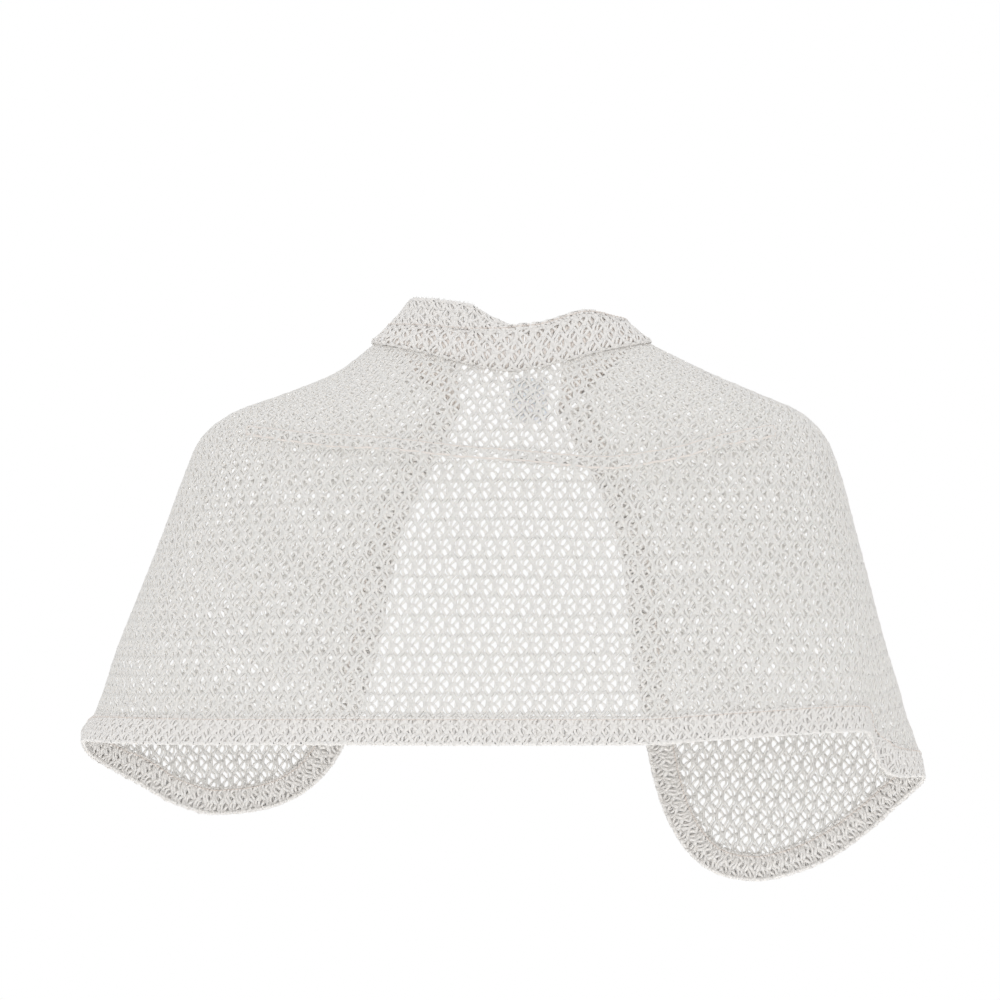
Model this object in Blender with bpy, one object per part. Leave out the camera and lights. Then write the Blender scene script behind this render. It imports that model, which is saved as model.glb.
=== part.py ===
"""Open-front cape cardigan in an open-net knit, as worn.

The cape hangs from the shoulders: a straight back, two rounded cutaway fronts that hang lower than the
back, a soft standing collar and a folded double hem all round. +Z is up, -Y is the back, +X is the
wearer's right. The origin is the middle of the neck ring at the height of the neck seam at centre back.
All sizes are in millimetres in the tables and in metres in the meshes.
"""

import math

import bmesh
import bpy
import numpy as np

MM = 0.001
SEAM_GAP = 0.3
SIDE_GAP = 0.5
PANEL_WALL = 1.6
HEM_WALL = 2.6
HEM_WIDTH = 19.0
COLLAR_WALL = 2.0
LABEL_WALL = 1.0

# Angles are measured in plan from centre back, plus to the wearer's right.
SIDE_SEAM = math.radians(97.0)
FRONT_EDGE = math.radians(148.0)
LEFT_LOW = math.radians(116.0)
RIGHT_LOW = math.radians(122.0)
CUTAWAY_FULLNESS = 2.55
COLLAR_END = math.radians(118.0)
LEVEL_DROP = 285.0
BACK_HEM_Z = -262.0
NECK_START = SEAM_GAP / 2 / 270

# How finely the walls are divided. The back's rows run from the neck seam, 0, to the drape fold's upper
# line, 1, its lower line, 2, and the hem, 3.
FINE = 361
BACK_COLUMNS = 57
FRONT_COLUMNS = 41
FRONT_CORNER = 18
BACK_ROWS = (
    0, 0.2, 0.4, 0.58, 0.74, 0.88, 1.0, 1.2, 1.4, 1.6, 1.8, 2.0,
    2.02, 2.04, 2.08, 2.14, 2.22, 2.32, 2.44, 2.58, 2.72, 2.86, 3.0,
)
HEM_ROWS = (HEM_WIDTH, HEM_WIDTH / 2, 0.0)
COLLAR_COLUMNS = 65
COLLAR_ROWS = 9
EDGE_ROWS = 8
COLLAR_CLEAR = PANEL_WALL / 2 + SEAM_GAP + 0.5
COLLAR_BEND = 3.2
COLLAR_SHANK = 1.2
EDGE_STEPS = 8


class Table:
    """A short table: the names of its columns in one line, then its rows."""

    def __init__(self, columns, *rows):
        for name, values in zip(columns.split(), zip(*rows)):
            setattr(self, name, np.array(values, float))


# One row for each level of the cape, from the neck seam down: where its line crosses centre back,
# the two sides and centre front, and how square the line is in plan.
LEVELS = Table(
    "s back_y back_z left_x right_x side_y side_z front_y front_z full",
    (0.00, -62, 0, 95, 97, -6, 20, 58, -48, 2.1),
    (0.10, -77, -22, 125, 143, -7, -2.5, 74, -72, 2.1),
    (0.20, -90, -47, 160, 177, -7, -17, 94, -96, 2.2),
    (0.30, -100, -73, 200, 210, -6, -32, 112, -120, 2.3),
    (0.40, -107, -100, 222, 227, -4, -50, 125, -142, 2.4),
    (0.50, -112, -127, 234.5, 238, -2, -78, 133, -162, 2.5),
    (0.60, -116, -154, 248.5, 248, 0, -116, 138, -182, 2.6),
    (0.70, -119, -181, 265, 259, 2, -158, 141, -200, 2.7),
    (0.80, -121, -208, 284, 271, 4, -203, 142, -216, 2.7),
    (0.90, -123, -235, 296, 280, 5, -235, 143, -238, 2.7),
    (0.95, -124, -248.5, 302, 283, 5, -248.5, 143, -250, 2.7),
    (1.00, -125, -262, 311, 288, 6, -262, 143, -262, 2.7),
    (1.12, -126, -296, 309, 297, 7, -296, 142, -296, 2.6),
    (1.25, -127, -333, 308, 298, 8, -333, 141, -333, 2.6),
    (1.45, -128, -390, 310, 300, 8, -390, 140, -390, 2.6),
)

# How low the hem hangs round each side, from centre back to the lowest point of the front.
LEFT_HEM = Table(
    "angle z",
    (0, -263.0),
    (45, -263.0),
    (70, -264.0),
    (84, -265.0),
    (91, -269.0),
    (97, -281.0),
    (105, -301.0),
    (111, -319.0),
    (116, -327.0),
    (125, -329.0),
)
RIGHT_HEM = Table(
    "angle z",
    (0, -263.0),
    (35, -263.0),
    (52, -259.0),
    (66, -255.5),
    (74, -254.5),
    (78, -268.0),
    (81, -282.0),
    (85, -289.5),
    (91, -293.0),
    (96, -300.0),
    (101, -314.0),
    (106, -336.0),
    (111, -356.0),
    (117, -371.0),
    (122, -377.0),
    (125, -377.5),
)

# The drape fold across the upper back: its upper and lower line at each place across.
DRAPE_FOLD = Table(
    "x top low proud",
    (-205, -40.0, -44.0, 0.0),
    (-177, -43.0, -50.0, 2.0),
    (-145, -47.0, -55.0, 4.0),
    (-85, -51.0, -62.0, 5.0),
    (-30, -57.0, -69.0, 5.0),
    (13, -60.0, -77.0, 5.5),
    (63, -64.0, -75.0, 5.5),
    (112, -58.0, -69.0, 5.0),
    (150, -48.0, -59.0, 4.0),
    (180, -42.0, -51.0, 2.0),
    (208, -39.0, -43.0, 0.0),
)

# Flutes that run down the cape: where each one is in plan, how wide, how deep (minus is inward),
# and the levels where it starts and is full.
FLUTES = Table(
    "angle width depth start full",
    (80, 7, -23, 0.66, 1.04),
    (96, 8, 5, 0.55, 1.05),
    (112, 7, -9, 0.55, 1.20),
    (133, 7, 8, 0.40, 1.20),
    (-84, 7, -6, 0.70, 1.05),
    (-108, 8, -9, 0.60, 1.15),
    (-128, 8, 8, 0.45, 1.15),
    (-58, 9, 3, 0.35, 0.90),
    (55, 9, 3, 0.35, 0.90),
)

# The collar, from one front end round the back to the other: how far its top leans in, how high it
# stands over the neck seam, how far it rolls out over the back, and how its edge band turns
# (0 stands up, 180 is folded down inside).
COLLAR = Table(
    "angle height lean roll turn band",
    (-148, 18, 4, 2.0, 20, 16),
    (-120, 16, 8, 2.0, 35, 18),
    (-90, 9, 8, 1.5, 44, 19),
    (-75, 10, 7, 2.5, 38, 20),
    (-60, 13, 4, 3.5, 18, 20),
    (-30, 20, 3, 5.0, 10, 18),
    (-17, 23, 3, 5.5, 48, 16),
    (-3, 25, 3, 5.5, 80, 15),
    (8, 26, 3, 5.5, 125, 15),
    (22, 25, 3, 5.5, 160, 16),
    (45, 26, 4, 5.0, 168, 18),
    (70, 16, 11, 3.0, 168, 18),
    (90, 11, 12, 1.5, 160, 17),
    (120, 15, 9, 2.0, 90, 16),
    (148, 18, 4, 2.0, 30, 16),
)

LABEL = dict(x=13.0, width=27.0, top=-7.0, length=32.0)

CLOTH = (0.80, 0.77, 0.72)
HEM_CLOTH = (0.80, 0.76, 0.71)
LABEL_CLOTH = (0.90, 0.90, 0.90)


def smooth_read(at, knots, values):
    """Read a table with a smooth curve that doesn't overshoot its rows."""
    step = np.diff(knots)
    slope = np.diff(values) / step
    tangent = np.zeros(len(knots))
    tangent[0] = slope[0]
    tangent[-1] = slope[-1]
    for i in range(1, len(knots) - 1):
        if slope[i - 1] * slope[i] > 0:
            near = 2 * step[i] + step[i - 1]
            far = step[i] + 2 * step[i - 1]
            tangent[i] = (near + far) / (near / slope[i - 1] + far / slope[i])
    at = np.clip(at, knots[0], knots[-1])
    i = np.clip(np.searchsorted(knots, at, side="right") - 1, 0, len(step) - 1)
    t = (at - knots[i]) / step[i]
    rise = t * t * (3 - 2 * t)
    bend_in = t * (1 - t) ** 2
    bend_out = t * t * (t - 1)
    return (
        values[i] * (1 - rise)
        + values[i + 1] * rise
        + step[i] * (tangent[i] * bend_in + tangent[i + 1] * bend_out)
    )


def smooth_step(at, start, end):
    """Rises from 0 to 1 between start and end."""
    t = np.clip((at - start) / (end - start), 0, 1)
    return t * t * (3 - 2 * t)


def level_value(s, name):
    """A measure of the cape at a level."""
    return smooth_read(s, LEVELS.s, getattr(LEVELS, name))


def plain_form(angle, s):
    """The cape's middle surface without folds, in millimetres."""
    wide = np.where(angle < 0, level_value(s, "left_x"), level_value(s, "right_x"))
    side_y = level_value(s, "side_y")
    end_y = np.where(np.cos(angle) > 0, level_value(s, "back_y"), level_value(s, "front_y"))
    deep = np.abs(end_y - side_y)
    full = level_value(s, "full")
    reach = ((np.abs(np.sin(angle)) / wide) ** full + (np.abs(np.cos(angle)) / deep) ** full) ** (-1 / full)
    end_z = np.where(np.cos(angle) > 0, level_value(s, "back_z"), level_value(s, "front_z"))
    side_z = level_value(s, "side_z")
    z = side_z + (end_z - side_z) * np.cos(angle) ** 2
    return np.stack([reach * np.sin(angle), side_y - reach * np.cos(angle), z], axis=-1)


def fold_height(points, angle, s):
    """How far the folds push the cloth out, in millimetres."""
    x = points[..., 0]
    z = points[..., 2]
    knots = DRAPE_FOLD.x
    top = smooth_read(x, knots, DRAPE_FOLD.top)
    low = smooth_read(x, knots, DRAPE_FOLD.low)
    proud = smooth_read(x, knots, DRAPE_FOLD.proud)
    down = (top - z) / (top - low)
    ridge = smooth_step(down, -0.30, 0.75) * (1 - smooth_step(down, 0.80, 1.30))
    out = proud * ridge * (np.cos(angle) > 0)
    flutes = zip(FLUTES.angle, FLUTES.width, FLUTES.depth, FLUTES.start, FLUTES.full)
    for place, width, depth, start, full in flutes:
        beside = (np.degrees(angle) - place) / width
        out = out + depth * np.exp(-(beside**2)) * smooth_step(s, start, full)
    return out


def cape(angle, s, out):
    """A point of the cape's middle surface with its folds, moved out by so many millimetres."""
    return folded(angle, s) + normal(angle, s) * out


def plain_normal(angle, s):
    """The outward normal of the plain form."""
    step = 1e-3
    across = plain_form(angle + step, s) - plain_form(angle - step, s)
    along = plain_form(angle, s + step) - plain_form(angle, s - step)
    return unit(np.cross(along, across))


def folded(angle, s):
    """The plain form with its folds."""
    points = plain_form(angle, s)
    return points + plain_normal(angle, s) * fold_height(points, angle, s)[..., None]


def normal(angle, s):
    """The outward normal of the folded form."""
    step = 2e-3
    across = folded(angle + step, s) - folded(angle - step, s)
    along = folded(angle, s + step) - folded(angle, s - step)
    return unit(np.cross(along, across))


def unit(vectors):
    """Vectors at length one."""
    return vectors / np.maximum(np.linalg.norm(vectors, axis=-1, keepdims=True), 1e-12)


def hem_level(angle):
    """The level of the hem at an angle, on either side, up to the lowest point of the front."""
    degrees = np.abs(np.degrees(angle))
    left = smooth_read(degrees, LEFT_HEM.angle, LEFT_HEM.z)
    right = smooth_read(degrees, RIGHT_HEM.angle, RIGHT_HEM.z)
    z = np.where(np.asarray(angle) < 0, left, right)
    return 1 + (BACK_HEM_Z - z) / LEVEL_DROP


def front_edge_line(side, along):
    """The hem of a front, from the side seam round the cutaway to the neck.

    along runs from 0 to 1 to the lowest point, and from 1 to 2 up to the neck seam.
    """
    low = LEFT_LOW if side < 0 else RIGHT_LOW
    level = np.clip(along, 0, 1)
    turn = np.clip(along - 1, 0, 1) * math.pi / 2
    power = 2 / CUTAWAY_FULLNESS
    straight = SIDE_SEAM + (low - SIDE_SEAM) * level
    angle = np.where(along <= 1, straight, low + (FRONT_EDGE - low) * np.sin(turn) ** power)
    lowest = hem_level(side * low)
    s = np.where(along <= 1, hem_level(side * straight), lowest * np.cos(turn) ** power)
    return side * angle, s


def inset(angle, s, distance):
    """Points of a line on the cape moved along the cloth to the line's upper or inner side."""
    step = 1e-3
    place = folded(angle, s)
    run = unit(np.gradient(place, axis=0))
    inward = unit(np.cross(normal(angle, s), run))
    across = (folded(angle + step, s) - folded(angle - step, s)) / (2 * step)
    down = (folded(angle, s + step) - folded(angle, s - step)) / (2 * step)
    aa = (across * across).sum(-1)
    ad = (across * down).sum(-1)
    dd = (down * down).sum(-1)
    ra = (inward * across).sum(-1)
    rd = (inward * down).sum(-1)
    det = aa * dd - ad * ad
    move_angle = (ra * dd - rd * ad) / det
    move_s = (rd * aa - ra * ad) / det
    sign = np.where(move_s.mean() > 0, -1.0, 1.0)
    return angle + sign * distance * move_angle, s + sign * distance * move_s


def cloth_material(name, colour, roughness):
    """A plain fabric material."""
    material = bpy.data.materials.new(name)
    material.use_nodes = True
    shader = material.node_tree.nodes["Principled BSDF"]
    shader.inputs["Base Color"].default_value = (*colour, 1.0)
    shader.inputs["Roughness"].default_value = roughness
    shader.inputs["Metallic"].default_value = 0.0
    material.diffuse_color = (*colour, 1.0)
    return material


def wall(name, outer, inner, material):
    """A closed wall between two grids of points, in millimetres."""
    rows, columns = outer.shape[:2]
    mesh = bmesh.new()
    sheets = [
        [[mesh.verts.new(grid[i, j] * MM) for j in range(columns)] for i in range(rows)]
        for grid in (outer, inner)
    ]
    for i in range(rows - 1):
        for j in range(columns - 1):
            falling = np.linalg.norm(outer[i, j] - outer[i + 1, j + 1])
            rising = np.linalg.norm(outer[i + 1, j] - outer[i, j + 1])
            ring = [(i, j), (i + 1, j), (i + 1, j + 1), (i, j + 1)]
            if rising < falling:
                ring = ring[1:] + ring[:1]
            for k, sheet in enumerate(sheets):
                for corner in (ring[:3], [ring[0], ring[2], ring[3]]):
                    face = [sheet[a][b] for a, b in corner]
                    mesh.faces.new(face if k == 0 else face[::-1])
    rim = [(i, 0) for i in range(rows)]
    rim += [(rows - 1, j) for j in range(1, columns)]
    rim += [(i, columns - 1) for i in range(rows - 2, -1, -1)]
    rim += [(0, j) for j in range(columns - 2, 0, -1)]
    for (a, b), (c, d) in zip(rim, rim[1:] + rim[:1]):
        mesh.faces.new([sheets[0][c][d], sheets[0][a][b], sheets[1][a][b], sheets[1][c][d]])
    if mesh.calc_volume(signed=True) < 0:
        bmesh.ops.reverse_faces(mesh, faces=mesh.faces)
    data = bpy.data.meshes.new(name)
    mesh.to_mesh(data)
    mesh.free()
    data.shade_smooth()
    data.set_sharp_from_angle(angle=math.radians(50))
    data.materials.append(material)
    piece = bpy.data.objects.new(name, data)
    bpy.context.scene.collection.objects.link(piece)
    return piece


def cape_wall(name, angle, s, thickness, material):
    """A wall of the cape over a grid of angles and levels."""
    return wall(name, cape(angle, s, thickness / 2), cape(angle, s, -thickness / 2), material)


def across_seam(side, s, distance):
    """The angle at a side seam, moved along the cloth by a distance towards the back."""
    step = 1e-3
    seam = np.full_like(s, side * SIDE_SEAM)
    speed = np.linalg.norm(folded(seam + step, s) - folded(seam - step, s), axis=-1) / (2 * step)
    return seam - side * distance / speed


def back_line(distance):
    """The back hem from seam to seam, moved up by a distance, at the places that both its walls share."""
    fine = np.linspace(-SIDE_SEAM - 0.02, SIDE_SEAM + 0.02, FINE)
    angle, s = inset(fine, hem_level(fine), distance)
    places = np.linspace(-SIDE_SEAM, SIDE_SEAM, BACK_COLUMNS)
    return np.interp(places, fine, angle), np.interp(places, fine, s)


def trim_to_seam(angle, s, side, j, distance):
    """Put a column of a grid on the side seam, less its gap."""
    angle[:, j] = across_seam(side, s[:, j], distance)


def fold_levels(angle):
    """The levels of the drape fold's upper and lower line at each angle."""
    levels = np.linspace(0.02, 0.7, 240)
    grid = plain_form(angle[:, None], levels[None, :])
    knots = DRAPE_FOLD.x
    found = []
    for name in ("top", "low"):
        line = smooth_read(grid[..., 0], knots, getattr(DRAPE_FOLD, name))
        below = line - grid[..., 2]
        found.append(np.array([np.interp(0.0, row, levels) for row in below]))
    return found


def make_back(material):
    """The back panel, from the neck seam to the top of the hem, with rows that follow the drape fold."""
    low_angle, low_s = back_line(HEM_WIDTH + SEAM_GAP)
    top_angle = np.linspace(-SIDE_SEAM, SIDE_SEAM, BACK_COLUMNS)
    top, low = fold_levels(top_angle)
    marks = np.array([np.full(BACK_COLUMNS, NECK_START), top, low, low_s])
    s = np.array([smooth_mix(marks, row) for row in BACK_ROWS])
    share = (s - NECK_START) / (low_s - NECK_START)
    angle = top_angle + (low_angle - top_angle) * share
    trim_to_seam(angle, s, -1, 0, SIDE_GAP / 2)
    trim_to_seam(angle, s, 1, -1, SIDE_GAP / 2)
    return cape_wall("back_panel", angle, s, PANEL_WALL, material)


def smooth_mix(marks, at):
    """The values between rows of marks, 0 for the first row, 1 for the second and so on."""
    i = min(int(at), len(marks) - 2)
    return marks[i] + (marks[i + 1] - marks[i]) * (at - i)


def make_back_hem(material):
    """The folded hem along the back, from seam to seam."""
    lines = [back_line(distance) for distance in HEM_ROWS]
    angle = np.array([line[0] for line in lines])
    s = np.array([line[1] for line in lines])
    trim_to_seam(angle, s, -1, 0, SIDE_GAP / 2)
    trim_to_seam(angle, s, 1, -1, SIDE_GAP / 2)
    return cape_wall("back_hem", angle, s, HEM_WALL, material)


def front_line(side, distance):
    """A front's outer edge moved in, from the side seam to the neck, at the places its walls share."""
    along = np.linspace(0, 2, FINE)
    angle, s = inset(*front_edge_line(side, along), distance)
    middle = folded(*inset(*front_edge_line(side, along), HEM_WIDTH))
    run = np.concatenate([[0], np.cumsum(np.linalg.norm(np.diff(middle, axis=0), axis=1))])
    places = np.linspace(0, run[-1], FRONT_COLUMNS)
    return np.interp(places, run, angle), np.maximum(np.interp(places, run, s), NECK_START)


def patch(top, bottom, left, right):
    """A grid of values between four edges that share their corners."""
    across = np.linspace(0, 1, len(top))[None, :]
    down = np.linspace(0, 1, len(left))[:, None]
    corners = (
        top[0] * (1 - across) * (1 - down)
        + top[-1] * across * (1 - down)
        + bottom[0] * (1 - across) * down
        + bottom[-1] * across * down
    )
    return (
        top[None, :] * (1 - down)
        + bottom[None, :] * down
        + left[:, None] * (1 - across)
        + right[:, None] * across
        - corners
    )


def make_front(name, side, material):
    """A front panel, between the neck seam, the side seam and the top of its hem."""
    low_angle, low_s = front_line(side, HEM_WIDTH + SEAM_GAP)
    bottom_angle = low_angle[: FRONT_CORNER + 1]
    bottom_s = low_s[: FRONT_CORNER + 1]
    right_angle = low_angle[: FRONT_CORNER - 1 : -1]
    right_s = low_s[: FRONT_CORNER - 1 : -1]
    rows = len(right_s)
    top_angle = np.linspace(side * SIDE_SEAM, right_angle[0], FRONT_CORNER + 1)
    top_s = np.full(FRONT_CORNER + 1, NECK_START)
    left_s = np.linspace(NECK_START, bottom_s[0], rows)
    left_angle = np.linspace(side * SIDE_SEAM, bottom_angle[0], rows)
    angle = patch(top_angle, bottom_angle, left_angle, right_angle)
    s = patch(top_s, bottom_s, left_s, right_s)
    trim_to_seam(angle, s, side, 0, -SIDE_GAP / 2)
    return cape_wall(name, angle, s, PANEL_WALL, material)


def make_front_hem(name, side, material):
    """The folded hem of a front, from the side seam round the cutaway to the neck."""
    lines = [front_line(side, distance) for distance in HEM_ROWS]
    angle = np.array([line[0] for line in lines])
    s = np.array([line[1] for line in lines])
    trim_to_seam(angle, s, side, 0, -SIDE_GAP / 2)
    return cape_wall(name, angle, s, HEM_WALL, material)


def collar_value(angle, name):
    """A measure of the collar at an angle."""
    return smooth_read(np.degrees(angle), COLLAR.angle, getattr(COLLAR, name))


def collar_base(angle):
    """The neck ring at each angle: its points, the level direction out, and the cloth's slope there."""
    level = np.zeros_like(angle)
    base = plain_form(angle, level)
    lean = plain_normal(angle, level)
    away = unit(lean * np.array([1.0, 1.0, 0.0]))
    return base, away, (lean * away).sum(-1), lean[..., 2]


def collar_profile(angle):
    """The collar's middle line at each angle, as distances out and up from the neck ring.

    It starts on the back just below the neck seam, rolls out over the seam and stands up.
    """
    height = collar_value(angle, "height")
    lean = collar_value(angle, "lean")
    roll = collar_value(angle, "roll")
    _, _, slope_out, slope_up = collar_base(angle)
    near_end = smooth_step(np.abs(angle), COLLAR_END, FRONT_EDGE)
    clear = COLLAR_CLEAR + (HEM_WALL - PANEL_WALL) / 2 * near_end
    marks = []
    for rise, drop in ((0.0, 3.0), (0.5, 3.4), (0.95, 1.6)):
        off = clear + roll * rise
        marks.append((off * slope_out + drop * slope_up, off * slope_up - drop * slope_out))
    top_out = clear * slope_out
    top_up = clear * slope_up
    for swell, share in ((0.90, 0.28), (0.55, 0.62), (0.0, 1.0)):
        marks.append((top_out + roll * swell - lean * share, top_up + height * share))
    out = np.array([mark[0] for mark in marks])
    up = np.array([mark[1] for mark in marks])
    return through_marks(out), through_marks(up)


def through_marks(marks):
    """Values at even places on a smooth curve through marks."""
    at = np.linspace(0, len(marks) - 1, COLLAR_ROWS)
    i = np.clip(at.astype(int), 0, len(marks) - 2)
    t = (at - i)[:, None]
    tangent = np.gradient(marks, axis=0)
    rise = t * t * (3 - 2 * t)
    return (
        marks[i] * (1 - rise)
        + marks[i + 1] * rise
        + tangent[i] * t * (1 - t) ** 2
        + tangent[i + 1] * t * t * (t - 1)
    )


def collar_strip(angle, out, up):
    """Points of a strip over the neck ring."""
    base, away, _, _ = collar_base(angle)
    return base[None] + away[None] * out[..., None] + np.array([0.0, 0.0, 1.0]) * up[..., None]


def strip_wall(name, grid, thickness, material):
    """A closed wall on both sides of a strip that runs round the neck."""
    half = unit(np.cross(-np.gradient(grid, axis=0), np.gradient(grid, axis=1))) * thickness / 2
    return wall(name, grid + half, grid - half, material)


def make_collar(material):
    """The collar's net band, which rolls out over the neck seam and stands up."""
    angle = np.linspace(-FRONT_EDGE, FRONT_EDGE, COLLAR_COLUMNS)
    return strip_wall("collar", collar_strip(angle, *collar_profile(angle)), COLLAR_WALL, material)


def make_collar_edge(material):
    """The collar's folded edge: it stands up on the left and is turned down inside on the right."""
    angle = np.linspace(-FRONT_EDGE, FRONT_EDGE, COLLAR_COLUMNS)
    out, up = collar_profile(angle)
    first = np.arctan2(-(out[-1] - out[-2]), up[-1] - up[-2])
    turn = np.radians(collar_value(angle, "turn"))
    band = collar_value(angle, "band")
    bend = COLLAR_BEND * np.abs(turn - first)
    total = bend + np.maximum(band - bend, 2.0)
    place_out = out[-1] - np.sin(first) * SEAM_GAP
    place_up = up[-1] + np.cos(first) * SEAM_GAP
    grid_out = [place_out]
    grid_up = [place_up]
    place_out = place_out - np.sin(first) * COLLAR_SHANK
    place_up = place_up + np.cos(first) * COLLAR_SHANK
    for i in range((EDGE_ROWS - 2) * EDGE_STEPS + 1):
        if i % EDGE_STEPS == 0:
            grid_out.append(place_out)
            grid_up.append(place_up)
        run = total * (i + 0.5) / ((EDGE_ROWS - 2) * EDGE_STEPS)
        heading = first + (turn - first) * np.clip(run / np.maximum(bend, 1e-6), 0, 1)
        place_out = place_out - np.sin(heading) * total / ((EDGE_ROWS - 2) * EDGE_STEPS)
        place_up = place_up + np.cos(heading) * total / ((EDGE_ROWS - 2) * EDGE_STEPS)
    grid = collar_strip(angle, np.array(grid_out), np.array(grid_up))
    return strip_wall("collar_edge", grid, HEM_WALL, material)


def make_label(material):
    """The blank label that hangs inside the back from the neck seam."""
    rows = 6
    columns = 5
    x = LABEL["x"] + LABEL["width"] * (np.linspace(0, 1, columns) - 0.5)
    z = LABEL["top"] - LABEL["length"] * np.linspace(0, 1, rows)
    levels = np.linspace(0, 0.4, 200)
    grid = np.zeros((rows, columns, 3))
    away = np.zeros((rows, columns, 3))
    for j, place in enumerate(x):
        angle = np.zeros_like(levels)
        for _ in range(12):
            here = plain_form(angle, levels)
            angle = np.arctan2(place, -(here[:, 1] - level_value(levels, "side_y")))
        line = folded(angle, levels)
        for i, height in enumerate(z):
            s = np.interp(-height, -line[:, 2], levels)
            turn = np.interp(-height, -line[:, 2], angle)
            grid[i, j] = folded(np.array(turn), np.array(s))
            away[i, j] = normal(np.array(turn), np.array(s))
    clear = PANEL_WALL / 2 + SEAM_GAP
    outer = grid - away * clear
    inner = grid - away * (clear + LABEL_WALL)
    return wall("label", outer, inner, material)


def main():
    """Clear the scene and build every piece."""
    for item in list(bpy.data.objects):
        bpy.data.objects.remove(item)
    net = cloth_material("net", CLOTH, 0.85)
    hem = cloth_material("hem", HEM_CLOTH, 0.88)
    tape = cloth_material("label", LABEL_CLOTH, 0.6)
    make_back(net)
    make_back_hem(hem)
    for name, side in (("left", -1), ("right", 1)):
        make_front(name + "_front", side, net)
        make_front_hem(name + "_front_hem", side, hem)
    make_collar(net)
    make_collar_edge(hem)
    make_label(tape)


main()
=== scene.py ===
"""Dresses the cape cardigan: open-net knit panels, folded hems, a soft collar and a blank label.

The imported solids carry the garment's form. Each panel of cloth is shown as a net of knitted strands laid
over that same form, and the hems, collar and label are laid along their own solids. Sizes are in
millimetres, angles in degrees from centre back (plus to the wearer's right), and levels run from the neck
seam, 0, to the back hem, 1. +Z is up and -Y is the back.
"""

import logging
import math
from dataclasses import dataclass, field, replace
from enum import Enum

import bpy
import numpy as np
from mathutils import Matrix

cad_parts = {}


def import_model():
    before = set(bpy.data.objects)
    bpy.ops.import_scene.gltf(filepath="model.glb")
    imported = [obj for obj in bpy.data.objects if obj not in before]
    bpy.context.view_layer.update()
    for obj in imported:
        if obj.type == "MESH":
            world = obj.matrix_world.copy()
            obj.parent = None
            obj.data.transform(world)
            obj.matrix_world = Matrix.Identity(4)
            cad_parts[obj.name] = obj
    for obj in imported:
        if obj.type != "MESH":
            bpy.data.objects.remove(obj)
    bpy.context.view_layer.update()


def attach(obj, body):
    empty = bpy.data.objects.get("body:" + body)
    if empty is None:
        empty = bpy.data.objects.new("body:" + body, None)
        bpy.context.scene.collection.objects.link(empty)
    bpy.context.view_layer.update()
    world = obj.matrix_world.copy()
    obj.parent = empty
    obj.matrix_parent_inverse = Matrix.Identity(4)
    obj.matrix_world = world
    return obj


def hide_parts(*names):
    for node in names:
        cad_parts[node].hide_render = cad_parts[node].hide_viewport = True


log = logging.getLogger("cape_cardigan")

MM = 0.001
Array = np.ndarray


class Side(Enum):
    """The wearer's two sides, as the sign of X."""

    LEFT = -1
    RIGHT = 1


class Hold(Enum):
    """How a sheet of cloth is held."""

    DRAPED = "draped"
    HUNG = "hung"
    FOLDED = "folded"


class Table:
    """A short table: the names of its columns in one line, then its rows."""

    def __init__(self, columns: str, *rows: tuple[float, ...]) -> None:
        """Stores each column as an array under its own name.

        Args:
            columns: the names of the columns.
            rows: one tuple for each row.
        """
        for name, values in zip(columns.split(), zip(*rows)):
            setattr(self, name, np.array(values, float))


LEVELS = Table(
    "s back_y back_z left_x right_x side_y side_z front_y front_z full",
    (0.00, -62, 0, 95, 97, -6, 20, 58, -48, 2.1),
    (0.10, -77, -22, 125, 143, -7, -2.5, 74, -72, 2.1),
    (0.20, -90, -47, 160, 177, -7, -17, 94, -96, 2.2),
    (0.30, -100, -73, 200, 210, -6, -32, 112, -120, 2.3),
    (0.40, -107, -100, 222, 227, -4, -50, 125, -142, 2.4),
    (0.50, -112, -127, 234.5, 238, -2, -78, 133, -162, 2.5),
    (0.60, -116, -154, 248.5, 248, 0, -116, 138, -182, 2.6),
    (0.70, -119, -181, 265, 259, 2, -158, 141, -200, 2.7),
    (0.80, -121, -208, 284, 271, 4, -203, 142, -216, 2.7),
    (0.90, -123, -235, 296, 280, 5, -235, 143, -238, 2.7),
    (0.95, -124, -248.5, 302, 283, 5, -248.5, 143, -250, 2.7),
    (1.00, -125, -262, 311, 288, 6, -262, 143, -262, 2.7),
    (1.12, -126, -296, 309, 297, 7, -296, 142, -296, 2.6),
    (1.25, -127, -333, 308, 298, 8, -333, 141, -333, 2.6),
    (1.45, -128, -390, 310, 300, 8, -390, 140, -390, 2.6),
)

LEFT_HEM = Table(
    "angle z",
    (0, -263),
    (45, -263),
    (70, -264),
    (84, -265),
    (91, -269),
    (97, -281),
    (105, -301),
    (111, -319),
    (116, -327),
    (125, -329),
)

RIGHT_HEM = Table(
    "angle z",
    (0, -263),
    (35, -263),
    (52, -259),
    (66, -255.5),
    (74, -254.5),
    (78, -268),
    (81, -282),
    (85, -289.5),
    (91, -293),
    (96, -300),
    (101, -314),
    (106, -336),
    (111, -356),
    (117, -371),
    (122, -377),
    (125, -377.5),
)

DRAPE_FOLD = Table(
    "x top low proud",
    (-205, -40, -44, 0),
    (-177, -43, -50, 2),
    (-145, -47, -55, 4),
    (-85, -51, -62, 5),
    (-30, -57, -69, 5),
    (13, -60, -77, 5.5),
    (63, -64, -75, 5.5),
    (112, -58, -69, 5),
    (150, -48, -59, 4),
    (180, -42, -51, 2),
    (208, -39, -43, 0),
)

FLUTES = Table(
    "angle width depth start full",
    (80, 7, -23, 0.66, 1.04),
    (96, 8, 5, 0.55, 1.05),
    (112, 7, -9, 0.55, 1.20),
    (133, 7, 8, 0.40, 1.20),
    (-84, 7, -6, 0.70, 1.05),
    (-108, 8, -9, 0.60, 1.15),
    (-128, 8, 8, 0.45, 1.15),
    (-58, 9, 3, 0.35, 0.90),
    (55, 9, 3, 0.35, 0.90),
)

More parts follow.
